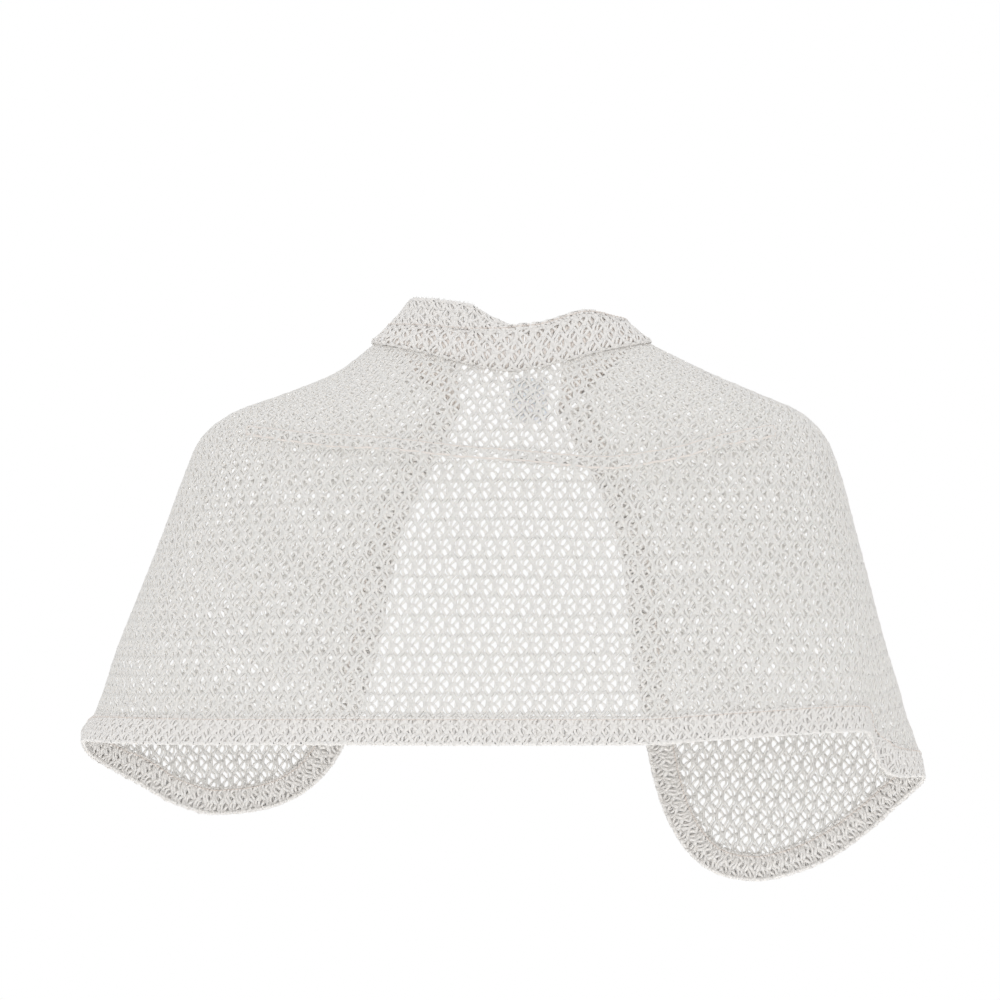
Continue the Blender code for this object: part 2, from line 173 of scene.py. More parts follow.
COLLAR = Table(
    "angle height lean roll turn band",
    (-148, 18, 4, 2.0, 20, 16),
    (-120, 16, 8, 2.0, 35, 18),
    (-90, 9, 8, 1.5, 44, 19),
    (-75, 10, 7, 2.5, 38, 20),
    (-60, 13, 4, 3.5, 18, 20),
    (-30, 20, 3, 5.0, 10, 18),
    (-17, 23, 3, 5.5, 48, 16),
    (-3, 25, 3, 5.5, 80, 15),
    (8, 26, 3, 5.5, 125, 15),
    (22, 25, 3, 5.5, 160, 16),
    (45, 26, 4, 5.0, 168, 18),
    (70, 16, 11, 3.0, 168, 18),
    (90, 11, 12, 1.5, 160, 17),
    (120, 15, 9, 2.0, 90, 16),
    (148, 18, 4, 2.0, 30, 16),
)

# One open shell of the knit, in units of the shell's width: each strand's middle line, how wide it is at
# each mark and how far it stands off the cloth, in millimetres. A foot opens into two rays, the arc closes
# them, and a thin side and a flank leave a slit on either side of the foot. The next row up starts 0.58 of
# a shell along, so that the arcs of one row run on into the flanks of the next.
SHELL_STRANDS = {
    "foot": ((-0.70, 0.0, 0.32, 0.10), (-0.45, 0.0, 0.26, 0.25), (-0.16, 0.0, 0.17, 0.15)),
    "rays": (
        (0.13, 0.41, 0.18, -0.05),
        (-0.05, 0.20, 0.17, 0.05),
        (-0.24, 0.0, 0.18, 0.15),
        (-0.05, -0.20, 0.17, 0.05),
        (0.08, -0.41, 0.18, -0.05),
    ),
    "sides": (
        (-0.09, 0.70, 0.16, 0.05),
        (-0.36, 0.44, 0.13, 0.05),
        (-0.46, 0.0, 0.16, 0.10),
        (-0.45, -0.34, 0.14, 0.05),
        (-0.25, -0.70, 0.16, -0.25),
    ),
    "flanks": (
        (-0.34, 0.76, 0.18, 0.05),
        (-0.66, 0.45, 0.19, 0.00),
        (-0.73, 0.0, 0.16, 0.00),
        (-0.72, -0.42, 0.19, 0.00),
        (-0.44, -0.78, 0.19, -0.30),
    ),
    "arc": (
        (-0.02, 0.73, 0.22, 0.10),
        (0.14, 0.47, 0.22, 0.05),
        (0.29, 0.26, 0.22, 0.10),
        (0.39, 0.08, 0.23, 0.15),
        (0.40, -0.09, 0.23, 0.15),
        (0.30, -0.27, 0.23, 0.10),
        (0.11, -0.47, 0.23, 0.05),
        (-0.07, -0.74, 0.22, -0.30),
    ),
}


def smooth_read(at: Array, knots: Array, values: Array) -> Array:
    """Reads a table with a smooth curve that doesn't overshoot its rows.

    Args:
        at: where to read.
        knots: the table's places, rising.
        values: the value at each place.

    Returns:
        The value at each place asked for.
    """
    step = np.diff(knots)
    slope = np.diff(values) / step
    tangent = np.zeros(len(knots))
    tangent[0] = slope[0]
    tangent[-1] = slope[-1]
    for i in range(1, len(knots) - 1):
        if slope[i - 1] * slope[i] > 0:
            near = 2 * step[i] + step[i - 1]
            far = step[i] + 2 * step[i - 1]
            tangent[i] = (near + far) / (near / slope[i - 1] + far / slope[i])
    at = np.clip(at, knots[0], knots[-1])
    i = np.clip(np.searchsorted(knots, at, side="right") - 1, 0, len(step) - 1)
    t = (at - knots[i]) / step[i]
    rise = t * t * (3 - 2 * t)
    bend = step[i] * (tangent[i] * t * (1 - t) ** 2 + tangent[i + 1] * t * t * (t - 1))
    return values[i] * (1 - rise) + values[i + 1] * rise + bend


def smooth_step(at: Array, start: float, end: float) -> Array:
    """Rises smoothly from 0 at start to 1 at end."""
    t = np.clip((at - start) / (end - start), 0, 1)
    return t * t * (3 - 2 * t)


def unit(vectors: Array) -> Array:
    """Vectors at length one."""
    return vectors / np.maximum(np.linalg.norm(vectors, axis=-1, keepdims=True), 1e-9)


def run_length(points: Array) -> Array:
    """The distance along a line of points, from its first."""
    return np.concatenate([[0.0], np.cumsum(np.linalg.norm(np.diff(points, axis=0), axis=1))])


def soft_noise(u: Array, v: Array, scale: float, phase: float) -> Array:
    """A smooth uneven field between about -1 and 1.

    Args:
        u: place across, in millimetres.
        v: place up, in millimetres.
        scale: the size of its swells, in millimetres.
        phase: a number that sets this field apart from the others.

    Returns:
        The field at each place.
    """
    a = np.sin(u / scale * 1.7 + phase) * np.cos(v / scale * 1.3 - 1.9 * phase)
    b = np.sin((u * 0.6 + v) / scale * 2.3 + 2.7 * phase)
    return 0.6 * a + 0.4 * b


@dataclass
class CapeForm:
    """The cape's middle surface, the same form that the solids have."""

    side_seam: float = 97.0
    front_edge: float = 148.0
    left_low: float = 116.0
    right_low: float = 122.0
    cutaway_fullness: float = 2.55
    level_drop: float = 285.0
    back_hem_z: float = -262.0

    def plain(self, angle: Array, s: Array) -> Array:
        """The middle surface without folds.

        Args:
            angle: angles in radians.
            s: levels.

        Returns:
            Points in millimetres.
        """
        left = smooth_read(s, LEVELS.s, LEVELS.left_x)
        right = smooth_read(s, LEVELS.s, LEVELS.right_x)
        side_y = smooth_read(s, LEVELS.s, LEVELS.side_y)
        side_z = smooth_read(s, LEVELS.s, LEVELS.side_z)
        back = np.cos(angle) > 0
        end_y = np.where(
            back,
            smooth_read(s, LEVELS.s, LEVELS.back_y),
            smooth_read(s, LEVELS.s, LEVELS.front_y),
        )
        end_z = np.where(
            back,
            smooth_read(s, LEVELS.s, LEVELS.back_z),
            smooth_read(s, LEVELS.s, LEVELS.front_z),
        )
        full = smooth_read(s, LEVELS.s, LEVELS.full)
        wide = np.where(angle < 0, left, right)
        across = (np.abs(np.sin(angle)) / wide) ** full
        deep = (np.abs(np.cos(angle)) / np.abs(end_y - side_y)) ** full
        reach = (across + deep) ** (-1 / full)
        z = side_z + (end_z - side_z) * np.cos(angle) ** 2
        return np.stack([reach * np.sin(angle), side_y - reach * np.cos(angle), z], axis=-1)

    def plain_normal(self, angle: Array, s: Array) -> Array:
        """The outward normal of the plain surface."""
        step = 1e-3
        across = self.plain(angle + step, s) - self.plain(angle - step, s)
        along = self.plain(angle, s + step) - self.plain(angle, s - step)
        return unit(np.cross(along, across))

    def fold_height(self, points: Array, angle: Array, s: Array) -> Array:
        """How far the drape fold and the flutes push the cloth out.

        Args:
            points: points of the plain surface.
            angle: their angles in radians.
            s: their levels.

        Returns:
            Heights in millimetres.
        """
        x, z = points[..., 0], points[..., 2]
        top = smooth_read(x, DRAPE_FOLD.x, DRAPE_FOLD.top)
        low = smooth_read(x, DRAPE_FOLD.x, DRAPE_FOLD.low)
        proud = smooth_read(x, DRAPE_FOLD.x, DRAPE_FOLD.proud)
        down = (top - z) / (top - low)
        ridge = smooth_step(down, -0.30, 0.75) * (1 - smooth_step(down, 0.80, 1.30))
        out = proud * ridge * (np.cos(angle) > 0)
        rows = zip(FLUTES.angle, FLUTES.width, FLUTES.depth, FLUTES.start, FLUTES.full)
        for place, width, depth, start, full in rows:
            beside = (np.degrees(angle) - place) / width
            out = out + depth * np.exp(-(beside**2)) * smooth_step(s, start, full)
        return out

    def folded(self, angle: Array, s: Array) -> Array:
        """The middle surface with its folds."""
        points = self.plain(angle, s)
        height = self.fold_height(points, angle, s)
        return points + self.plain_normal(angle, s) * height[..., None]

    def normal(self, angle: Array, s: Array) -> Array:
        """The outward normal of the folded surface."""
        step = 2e-3
        across = self.folded(angle + step, s) - self.folded(angle - step, s)
        along = self.folded(angle, s + step) - self.folded(angle, s - step)
        return unit(np.cross(along, across))

    def hem_level(self, angle: Array) -> Array:
        """The level of the hem at each angle in radians."""
        degrees = np.abs(np.degrees(angle))
        left = smooth_read(degrees, LEFT_HEM.angle, LEFT_HEM.z)
        right = smooth_read(degrees, RIGHT_HEM.angle, RIGHT_HEM.z)
        z = np.where(np.asarray(angle) < 0, left, right)
        return 1 + (self.back_hem_z - z) / self.level_drop

    def front_edge_line(self, side: Side, along: Array) -> tuple[Array, Array]:
        """The outer edge of a front, from the side seam round the cutaway to the neck.

        Args:
            side: which front.
            along: 0 to 1 runs to the lowest point, and 1 to 2 up to the neck seam.

        Returns:
            Angles in radians and levels.
        """
        low = math.radians(self.left_low if side is Side.LEFT else self.right_low)
        seam, edge = math.radians(self.side_seam), math.radians(self.front_edge)
        turn = np.clip(along - 1, 0, 1) * math.pi / 2
        power = 2 / self.cutaway_fullness
        straight = seam + (low - seam) * np.clip(along, 0, 1)
        angle = np.where(along <= 1, straight, low + (edge - low) * np.sin(turn) ** power)
        lowest = self.hem_level(np.array(side.value * low))
        level = self.hem_level(side.value * straight)
        s = np.where(along <= 1, level, lowest * np.cos(turn) ** power)
        return side.value * angle, s

    def inset(self, angle: Array, s: Array, distance: float) -> tuple[Array, Array]:
        """A line on the cape moved along the cloth to its upper or inner side.

        Args:
            angle: the line's angles in radians.
            s: its levels.
            distance: how far it moves, in millimetres.

        Returns:
            The moved line's angles and levels.
        """
        step = 1e-3
        run = unit(np.gradient(self.folded(angle, s), axis=0))
        inward = unit(np.cross(self.normal(angle, s), run))
        across = (self.folded(angle + step, s) - self.folded(angle - step, s)) / (2 * step)
        down = (self.folded(angle, s + step) - self.folded(angle, s - step)) / (2 * step)
        aa, ad, dd = ((a * b).sum(-1) for a, b in ((across, across), (across, down), (down, down)))
        ra, rd = (inward * across).sum(-1), (inward * down).sum(-1)
        det = aa * dd - ad * ad
        move_angle = (ra * dd - rd * ad) / det
        move_s = (rd * aa - ra * ad) / det
        sign = np.where(move_s.mean() > 0, -1.0, 1.0)
        return angle + sign * distance * move_angle, s + sign * distance * move_s


@dataclass
class ClothPatch:
    """A piece of cloth laid flat: even places across and up it, with the form's point and normal at each."""

    u: Array
    v: Array
    points: Array
    normals: Array

    def sample(self, u: Array, v: Array) -> tuple[Array, Array]:
        """The form at places on the flat cloth.

        Args:
            u: places across, in millimetres.
            v: places up, in millimetres.

        Returns:
            Points in millimetres and outward normals.
        """
        a = np.clip((u - self.u[0]) / (self.u[1] - self.u[0]), 0, len(self.u) - 1.001)
        b = np.clip((v - self.v[0]) / (self.v[1] - self.v[0]), 0, len(self.v) - 1.001)
        i, j = b.astype(int), a.astype(int)
        fi, fj = (b - i)[..., None], (a - j)[..., None]
        found = []
        for grid in (self.points, self.normals):
            low = grid[i, j] * (1 - fj) + grid[i, j + 1] * fj
            high = grid[i + 1, j] * (1 - fj) + grid[i + 1, j + 1] * fj
            found.append(low * (1 - fi) + high * fi)
        return found[0], unit(found[1])


@dataclass
class PanelChart:
    """Unrolls part of the cape onto flat cloth and back.

    u is the distance along a level from the panel's straight grain line, and v the distance up the cloth
    from the level of the back hem.
    """

    form: CapeForm
    start: float
    end: float
    grain: float
    columns: int = 161
    rows: int = 141
    lowest: float = 1.45
    spacing: float = 3.0
    angle: Array = field(init=False)
    s: Array = field(init=False)
    across: Array = field(init=False)
    up: Array = field(init=False)

    def __post_init__(self) -> None:
        """Measures the form along its levels and up its meridians."""
        self.angle = np.radians(np.linspace(self.start, self.end, self.columns))
        self.s = np.linspace(0.0, self.lowest, self.rows)
        grid = self.form.folded(self.angle[None, :], self.s[:, None])
        along = np.linalg.norm(np.diff(grid, axis=1), axis=-1)
        along = np.concatenate([np.zeros((self.rows, 1)), np.cumsum(along, axis=1)], axis=1)
        middle = math.radians(self.grain)
        zero = np.array([np.interp(middle, self.angle, row) for row in along])
        self.across = along - zero[:, None]
        drop = np.linalg.norm(np.diff(grid, axis=0), axis=-1)
        drop = np.concatenate([np.zeros((1, self.columns)), np.cumsum(drop, axis=0)], axis=0)
        hem = np.array([np.interp(1.0, self.s, drop[:, j]) for j in range(self.columns)])
        self.up = hem[None, :] - drop

    def read(self, grid: Array, angle: Array, s: Array) -> Array:
        """A measured grid at angles in radians and levels."""
        a = (angle - self.angle[0]) / (self.angle[1] - self.angle[0])
        b = (s - self.s[0]) / (self.s[1] - self.s[0])
        a = np.clip(a, 0, self.columns - 1.001)
        b = np.clip(b, 0, self.rows - 1.001)
        i, j = b.astype(int), a.astype(int)
        fi, fj = b - i, a - j
        low = grid[i, j] * (1 - fj) + grid[i, j + 1] * fj
        high = grid[i + 1, j] * (1 - fj) + grid[i + 1, j + 1] * fj
        return low * (1 - fi) + high * fi

    def flat(self, angle: Array, s: Array) -> Array:
        """Places on the flat cloth of a line on the form, as rows of (u, v)."""
        return np.stack([self.read(self.across, angle, s), self.read(self.up, angle, s)], axis=-1)

    def patch(self) -> ClothPatch:
        """The flat cloth at even places.

        Returns:
            The patch that covers the whole chart.
        """
        u = np.arange(self.across.min(), self.across.max() + self.spacing, self.spacing)
        v = np.arange(self.up.min(), self.up.max() + self.spacing, self.spacing)
        wide, high = np.meshgrid(u, v)
        s = np.clip(1 - high / self.form.level_drop, 0, self.lowest)
        angle = np.interp(wide, self.across[-1], self.angle)
        slopes = [
            np.gradient(grid, spacing, axis=axis)
            for grid in (self.across, self.up)
            for axis, spacing in ((1, self.angle[1] - self.angle[0]), (0, self.s[1] - self.s[0]))
        ]
        for _ in range(24):
            miss_u = wide - self.read(self.across, angle, s)
            miss_v = high - self.read(self.up, angle, s)
            ua, us, va, vs = (self.read(slope, angle, s) for slope in slopes)
            det = ua * vs - us * va
            det = np.where(np.abs(det) < 1.0, np.sign(det) + (det == 0), det)
            angle = angle + 0.7 * (miss_u * vs - miss_v * us) / det
            s = s + 0.7 * (miss_v * ua - miss_u * va) / det
            angle = np.clip(angle, self.angle[0], self.angle[-1])
            s = np.clip(s, 0.0, self.lowest)
        return ClothPatch(u, v, self.form.folded(angle, s), self.form.normal(angle, s))


@dataclass
class Outline:
    """The cut edge of a piece of flat cloth, as a closed line of (u, v)."""

    line: Array

    def area(self) -> float:
        """The area inside, in square millimetres."""
        x, y = self.line[:, 0], self.line[:, 1]
        return float(abs((x * np.roll(y, -1) - y * np.roll(x, -1)).sum()) / 2)

    def size(self) -> tuple[float, float]:
        """Its width and length in millimetres."""
        width, length = np.ptp(self.line, axis=0)
        return float(width), float(length)

    def inside(self, spots: Array) -> Array:
        """Which spots lie inside the line."""
        x, y = spots[:, 0][:, None], spots[:, 1][:, None]
        a, b = self.line, np.roll(self.line, -1, axis=0)
        crosses = (a[:, 1] > y) != (b[:, 1] > y)
        rise = np.where(b[:, 1] == a[:, 1], 1e-9, b[:, 1] - a[:, 1])
        place = a[:, 0] + (y - a[:, 1]) / rise * (b[:, 0] - a[:, 0])
        return (crosses & (x < place)).sum(axis=1) % 2 == 1

    def half(self, side: Side) -> "Outline":
        """The part of the outline on one side of the grain line."""
        line = self.line.copy()
        line[:, 0] = side.value * np.maximum(side.value * line[:, 0], 0)
        return Outline(line)

    def nearest(self, spots: Array) -> Array:
        """The nearest place on the line to each spot."""
        a, b = self.line, np.roll(self.line, -1, axis=0)
        step = b - a
        size = np.maximum((step * step).sum(-1), 1e-9)
        reach = spots[:, None, :] - a[None]
        t = np.clip((reach * step[None]).sum(-1) / size, 0, 1)
        foot = a[None] + step[None] * t[..., None]
        best = ((foot - spots[:, None, :]) ** 2).sum(-1).argmin(axis=1)
        return foot[np.arange(len(spots)), best]


class StrandMesh:
    """Gathers knitted strands and makes one mesh of them. Each strand is a closed tube with a soft crown."""

    crown = 0.7

    def __init__(self) -> None:
        """Starts with no strands."""
        self.vertices: list[Array] = []
        self.faces: list[Array] = []
        self.along: list[Array] = []
        self.around: list[Array] = []
        self.finish: list[Array] = []
        self.count = 0

    def add(self, middle: Array, normal: Array, width: Array, height: Array, finish: int = 0) -> None:
        """Adds strands that have the same number of marks.

        Args:
            middle: points of their middle lines in millimetres, strands by marks by 3.
            normal: the cloth's outward normal at each.
            width: how wide each strand is at each mark.
            height: how thick it is there.
            finish: the number of its material.
        """
        strands, marks = middle.shape[:2]
        if not strands:
            return
        run = unit(np.gradient(middle, axis=1))
        across = unit(np.cross(normal, run))
        proud = np.cross(run, across)
        half_w, half_h = width[..., None] / 2, height[..., None] / 2
        ring = [
            middle + across * half_w - proud * half_h,
            middle + across * half_w * self.crown + proud * half_h,
            middle - across * half_w * self.crown + proud * half_h,
            middle - across * half_w - proud * half_h,
        ]
        vertices = np.stack(ring, axis=2).reshape(-1, 3)
        length = np.linalg.norm(np.diff(middle, axis=1), axis=-1)
        length = np.concatenate([np.zeros((strands, 1)), np.cumsum(length, axis=1)], axis=1)
        base = self.count + np.arange(strands)[:, None, None] * marks * 4
        mark = np.arange(marks - 1)[None, :, None] * 4
        side = np.arange(4)[None, None, :]
        after = (side + 1) % 4
        quads = np.stack(
            [base + mark + side, base + mark + after, base + mark + 4 + after, base + mark + 4 + side],
            axis=-1,
        )
        along = np.stack([length[:, :-1], length[:, :-1], length[:, 1:], length[:, 1:]], axis=-1)
        along = np.broadcast_to(along[:, :, None, :], quads.shape)
        around = np.stack([side, side + 1, side + 1, side], axis=-1) / 4.0
        around = np.broadcast_to(around, quads.shape)
        start = self.count + np.arange(strands)[:, None] * marks * 4 + np.array([3, 2, 1, 0])
        end = self.count + np.arange(strands)[:, None] * marks * 4 + (marks - 1) * 4 + np.arange(4)
        flat_end = np.zeros((strands, 4))
        self.vertices.append(vertices)
        self.faces += [quads.reshape(-1, 4), start, end]
        self.along += [along.reshape(-1, 4), flat_end, flat_end]
        self.around += [around.reshape(-1, 4), flat_end, flat_end]
        self.finish.append(np.full(len(quads.reshape(-1, 4)) + 2 * strands, finish))
        self.count += len(vertices)

    @property
    def size(self) -> int:
        """How many faces it has."""
        return sum(len(part) for part in self.faces)

    def build(self, name: str, materials: list[bpy.types.Material]) -> bpy.types.Object:
        """Makes the mesh and links its object.

        Args:
            name: the piece's name.
            materials: its materials, in the order that the strands number them.

        Returns:
            The new object.
        """
        vertices = np.concatenate(self.vertices) * MM
        faces = np.concatenate(self.faces)
        mesh = bpy.data.meshes.new(name)
        mesh.vertices.add(len(vertices))
        mesh.vertices.foreach_set("co", vertices.ravel())
        mesh.loops.add(faces.size)
        mesh.loops.foreach_set("vertex_index", faces.ravel().astype(np.int32))
        mesh.polygons.add(len(faces))
        mesh.polygons.foreach_set("loop_start", np.arange(0, faces.size, 4, dtype=np.int32))
        mesh.polygons.foreach_set("material_index", np.concatenate(self.finish).astype(np.int32))
        mesh.polygons.foreach_set("use_smooth", np.ones(len(faces), bool))
        layer = mesh.uv_layers.new(name="yarn")
        place = np.stack([np.concatenate(self.along).ravel() / 10, np.concatenate(self.around).ravel()], axis=-1)
        mesh.update(calc_edges=True)
        layer.uv.foreach_set("vector", place.ravel().astype(np.float32))
        mesh.validate()
        for material in materials:
            mesh.materials.append(material)
        piece = bpy.data.objects.new(name, mesh)
        bpy.context.scene.collection.objects.link(piece)
        return piece


@dataclass
class Shell:
    """The knit's open shell stitch and how it repeats."""

    width: float = 10.66
    row: float = 13.6
    step: float = 0.58
    fill: float = 1.15
    flat: float = 0.17
    thin: float = 0.30
    loose: float = 0.16
    uneven: float = 0.32
    tucked: float = 3.4
    rib: float = 2.7
    seed: int = 7

    def lay(
        self,
        mesh: StrandMesh,
        patch: ClothPatch,
        outline: Outline,
        lift: float = 0.0,
        shift: float = 0.0,
        scale: float = 1.0,
        finish: int = 0,
        side: Side | None = None,
        skip: Outline | None = None,
    ) -> int:
        """Lays rows of shells over a patch, inside an outline.

        Args:
            mesh: where the strands go.
            patch: the cloth they lie on.
            outline: the panel's edge on the flat cloth.
            lift: how far they stand off the middle surface, in millimetres.
            shift: how far the rows start along, in shells.
            scale: the shells' size against the usual one.
            finish: the number of their material.
            side: the half of the panel to lay, or both.
            skip: a part of the cloth that is left out.

        Returns:
            How many shells were laid.
        """
        width, row = self.width * scale, self.row * scale
        low, high = outline.line.min(axis=0), outline.line.max(axis=0)
        rows = np.arange(math.floor(low[1] / row) - 1, math.ceil(high[1] / row) + 2)
        columns = np.arange(math.floor(low[0] / width) - 3, math.ceil(high[0] / width) + 4)
        column, line = np.meshgrid(columns, rows)
        u = (column + (self.step * line) % 1 + shift) * width
        v = (line + 0.37 * shift) * row
        spots = np.stack([u.ravel(), v.ravel()], axis=-1)
        margin = 1.2 * row
        near = np.all((spots > low - margin) & (spots < high + margin), axis=1)
        spots = spots[near]
        chance = np.random.default_rng(self.seed)
        sway_u = soft_noise(spots[:, 0], spots[:, 1], 46.0, 0.7)
        sway_v = soft_noise(spots[:, 0], spots[:, 1], 58.0, 2.1)
        spots = spots + np.stack([sway_u, sway_v], axis=-1) * 0.9 + chance.normal(0, self.uneven, spots.shape)
        inside = outline.inside(spots)
        gap = np.linalg.norm(outline.nearest(spots) - spots, axis=1)
        spots = spots[inside | (gap < width)]
        if side is not None:
            spots = spots[(spots[:, 0] >= 0) == (side is Side.RIGHT)]
        if skip is not None:
            depth = np.linalg.norm(skip.nearest(spots) - spots, axis=1)
            spots = spots[~(skip.inside(spots) & (depth > self.tucked))]
        for marks in SHELL_STRANDS.values():
            table = np.array(marks)
            place = spots[:, None, :] + table[None, :, :2] * self.width * scale
            place = place + chance.normal(0, self.loose, place.shape)
            flat_spots = place.reshape(-1, 2)
            within = outline.inside(flat_spots)
            out = ~within
            if out.any():
                flat_spots[out] = outline.nearest(flat_spots[out])
            kept = within.reshape(place.shape[:2]).sum(axis=1) >= 2
            place = flat_spots.reshape(place.shape)[kept]
            points, normals = patch.sample(place[..., 0], place[..., 1])
            swell = chance.normal(1.0, 0.05, (len(place), 1))
            wide = table[None, :, 2] * self.width * scale * swell * self.fill
            off = lift + table[None, :, 3] * (1 + 0 * wide)
            mesh.add(points + normals * off[..., None], normals, wide, wide * self.flat + self.thin, finish)
        return len(spots)

    def edging(
        self,
        mesh: StrandMesh,
        patch: ClothPatch,
        outline: Outline,
        wide: float = 1.7,
        lift: float = 0.0,
        finish: int = 0,
        side: Side | None = None,
    ) -> None:
        """Runs a closing strand just inside an edge.

        Args:
            mesh: where the strand goes.
            patch: the cloth it lies on.
            outline: the edge.
            wide: the strand's width in millimetres.
            lift: how far it stands off the middle surface.
            finish: the number of its material.
            side: the half of the panel to edge, or both.
        """
        closed = np.vstack([outline.line, outline.line[:1]])
        run = run_length(closed)
        places = np.linspace(0, run[-1], int(run[-1] / 3.5))
        spots = np.stack([np.interp(places, run, closed[:, k]) for k in (0, 1)], axis=-1)
        along = unit(np.gradient(spots, axis=0))
        inward = np.stack([-along[:, 1], along[:, 0]], axis=-1)
        probe = outline.inside(spots + inward * 0.5)
        spots = spots + inward * np.where(probe, 1.0, -1.0)[:, None] * wide * 0.5
        spots = spots + np.sin(places / 2.9)[:, None] * inward * 0.25
        here = np.ones(len(spots), bool) if side is None else (spots[:, 0] >= 0) == (side is Side.RIGHT)
        cuts = np.flatnonzero(np.diff(here.astype(int))) + 1
        for stretch, wanted in zip(np.split(spots, cuts), np.split(here, cuts)):
            if len(stretch) > 3 and wanted[0]:
                points, normals = patch.sample(stretch[:, 0], stretch[:, 1])
                width = np.full((1, len(points)), wide)
                mesh.add((points + normals * lift)[None], normals[None], width, width * 0.5, finish)

    def ribs(self, mesh: StrandMesh, patch: ClothPatch, reach: Array, lift: float, finish: int = 0) -> None:
        """Lays the close ribs of a turned-in layer, from one edge of a strip to the other.

        Args:
            mesh: where the strands go.
            patch: the strip.
            reach: how far the strip goes across at each of the patch's places along.
            lift: how far they stand off the middle surface.
            finish: the number of their material.
        """
        chance = np.random.default_rng(self.seed + 4)
        length = float(patch.u[-1])
        count = int(length / self.rib)
        u = (np.arange(count) + 0.5) * length / count
        share = np.linspace(0.03, 0.97, 6)
        place_v = np.interp(u, patch.u, reach)[:, None] * share[None, :]
        place_u = u[:, None] + chance.normal(0, 0.3, place_v.shape)
        points, normals = patch.sample(place_u, place_v)
        wide = self.rib * chance.uniform(0.72, 1.02, place_v.shape)
        mesh.add(points + normals * lift, normals, wide, wide * 0.14, finish)


@dataclass(frozen=True)
class YarnFinish:
    """How a yarn looks: its colours, how it takes light and how its plies twist."""

    name: str
    colour: tuple[float, float, float]
    # shade: the darker colour, taken at random through the cloud and as painted shade between the plies and fibres
    shade: tuple[float, float, float]
    roughness: float = 0.86
    sheen: float = 0.35
    translucence: float = 0.12
    plies: float = 9.0
    bump: float = 0.35

    def material(self, yarn: bpy.types.NodeTree) -> bpy.types.Material:
        """Builds the yarn's material.

        Args:
            yarn: the node group that gives every yarn its plies and fibres.

        Returns:
            The material.
        """
        material = bpy.data.materials.new(self.name)
        material.use_nodes = True
        tree = material.node_tree
        shader = tree.nodes["Principled BSDF"]
        group = tree.nodes.new("ShaderNodeGroup")
        group.node_tree = yarn
        group.inputs["Colour"].default_value = (*self.colour, 1.0)
        group.inputs["Shade"].default_value = (*self.shade, 1.0)
        group.inputs["Plies"].default_value = self.plies
        group.inputs["Roughness"].default_value = self.roughness
        bump = tree.nodes.new("ShaderNodeBump")
        bump.inputs["Strength"].default_value = self.bump
        bump.inputs["Distance"].default_value = 0.0003
        tree.links.new(group.outputs["Colour"], shader.inputs["Base Color"])
        tree.links.new(group.outputs["Roughness"], shader.inputs["Roughness"])
        tree.links.new(group.outputs["Height"], bump.inputs["Height"])
        tree.links.new(bump.outputs["Normal"], shader.inputs["Normal"])
        shader.inputs["Sheen Weight"].default_value = self.sheen
        shader.inputs["Sheen Roughness"].default_value = 0.6
        shader.inputs["Specular IOR Level"].default_value = 0.2
        shader.inputs["Subsurface Weight"].default_value = self.translucence
        shader.inputs["Subsurface Radius"].default_value = (1.0, 0.9, 0.8)
        shader.inputs["Subsurface Scale"].default_value = 0.0015
        material.diffuse_color = (*self.colour, 1.0)
        return material


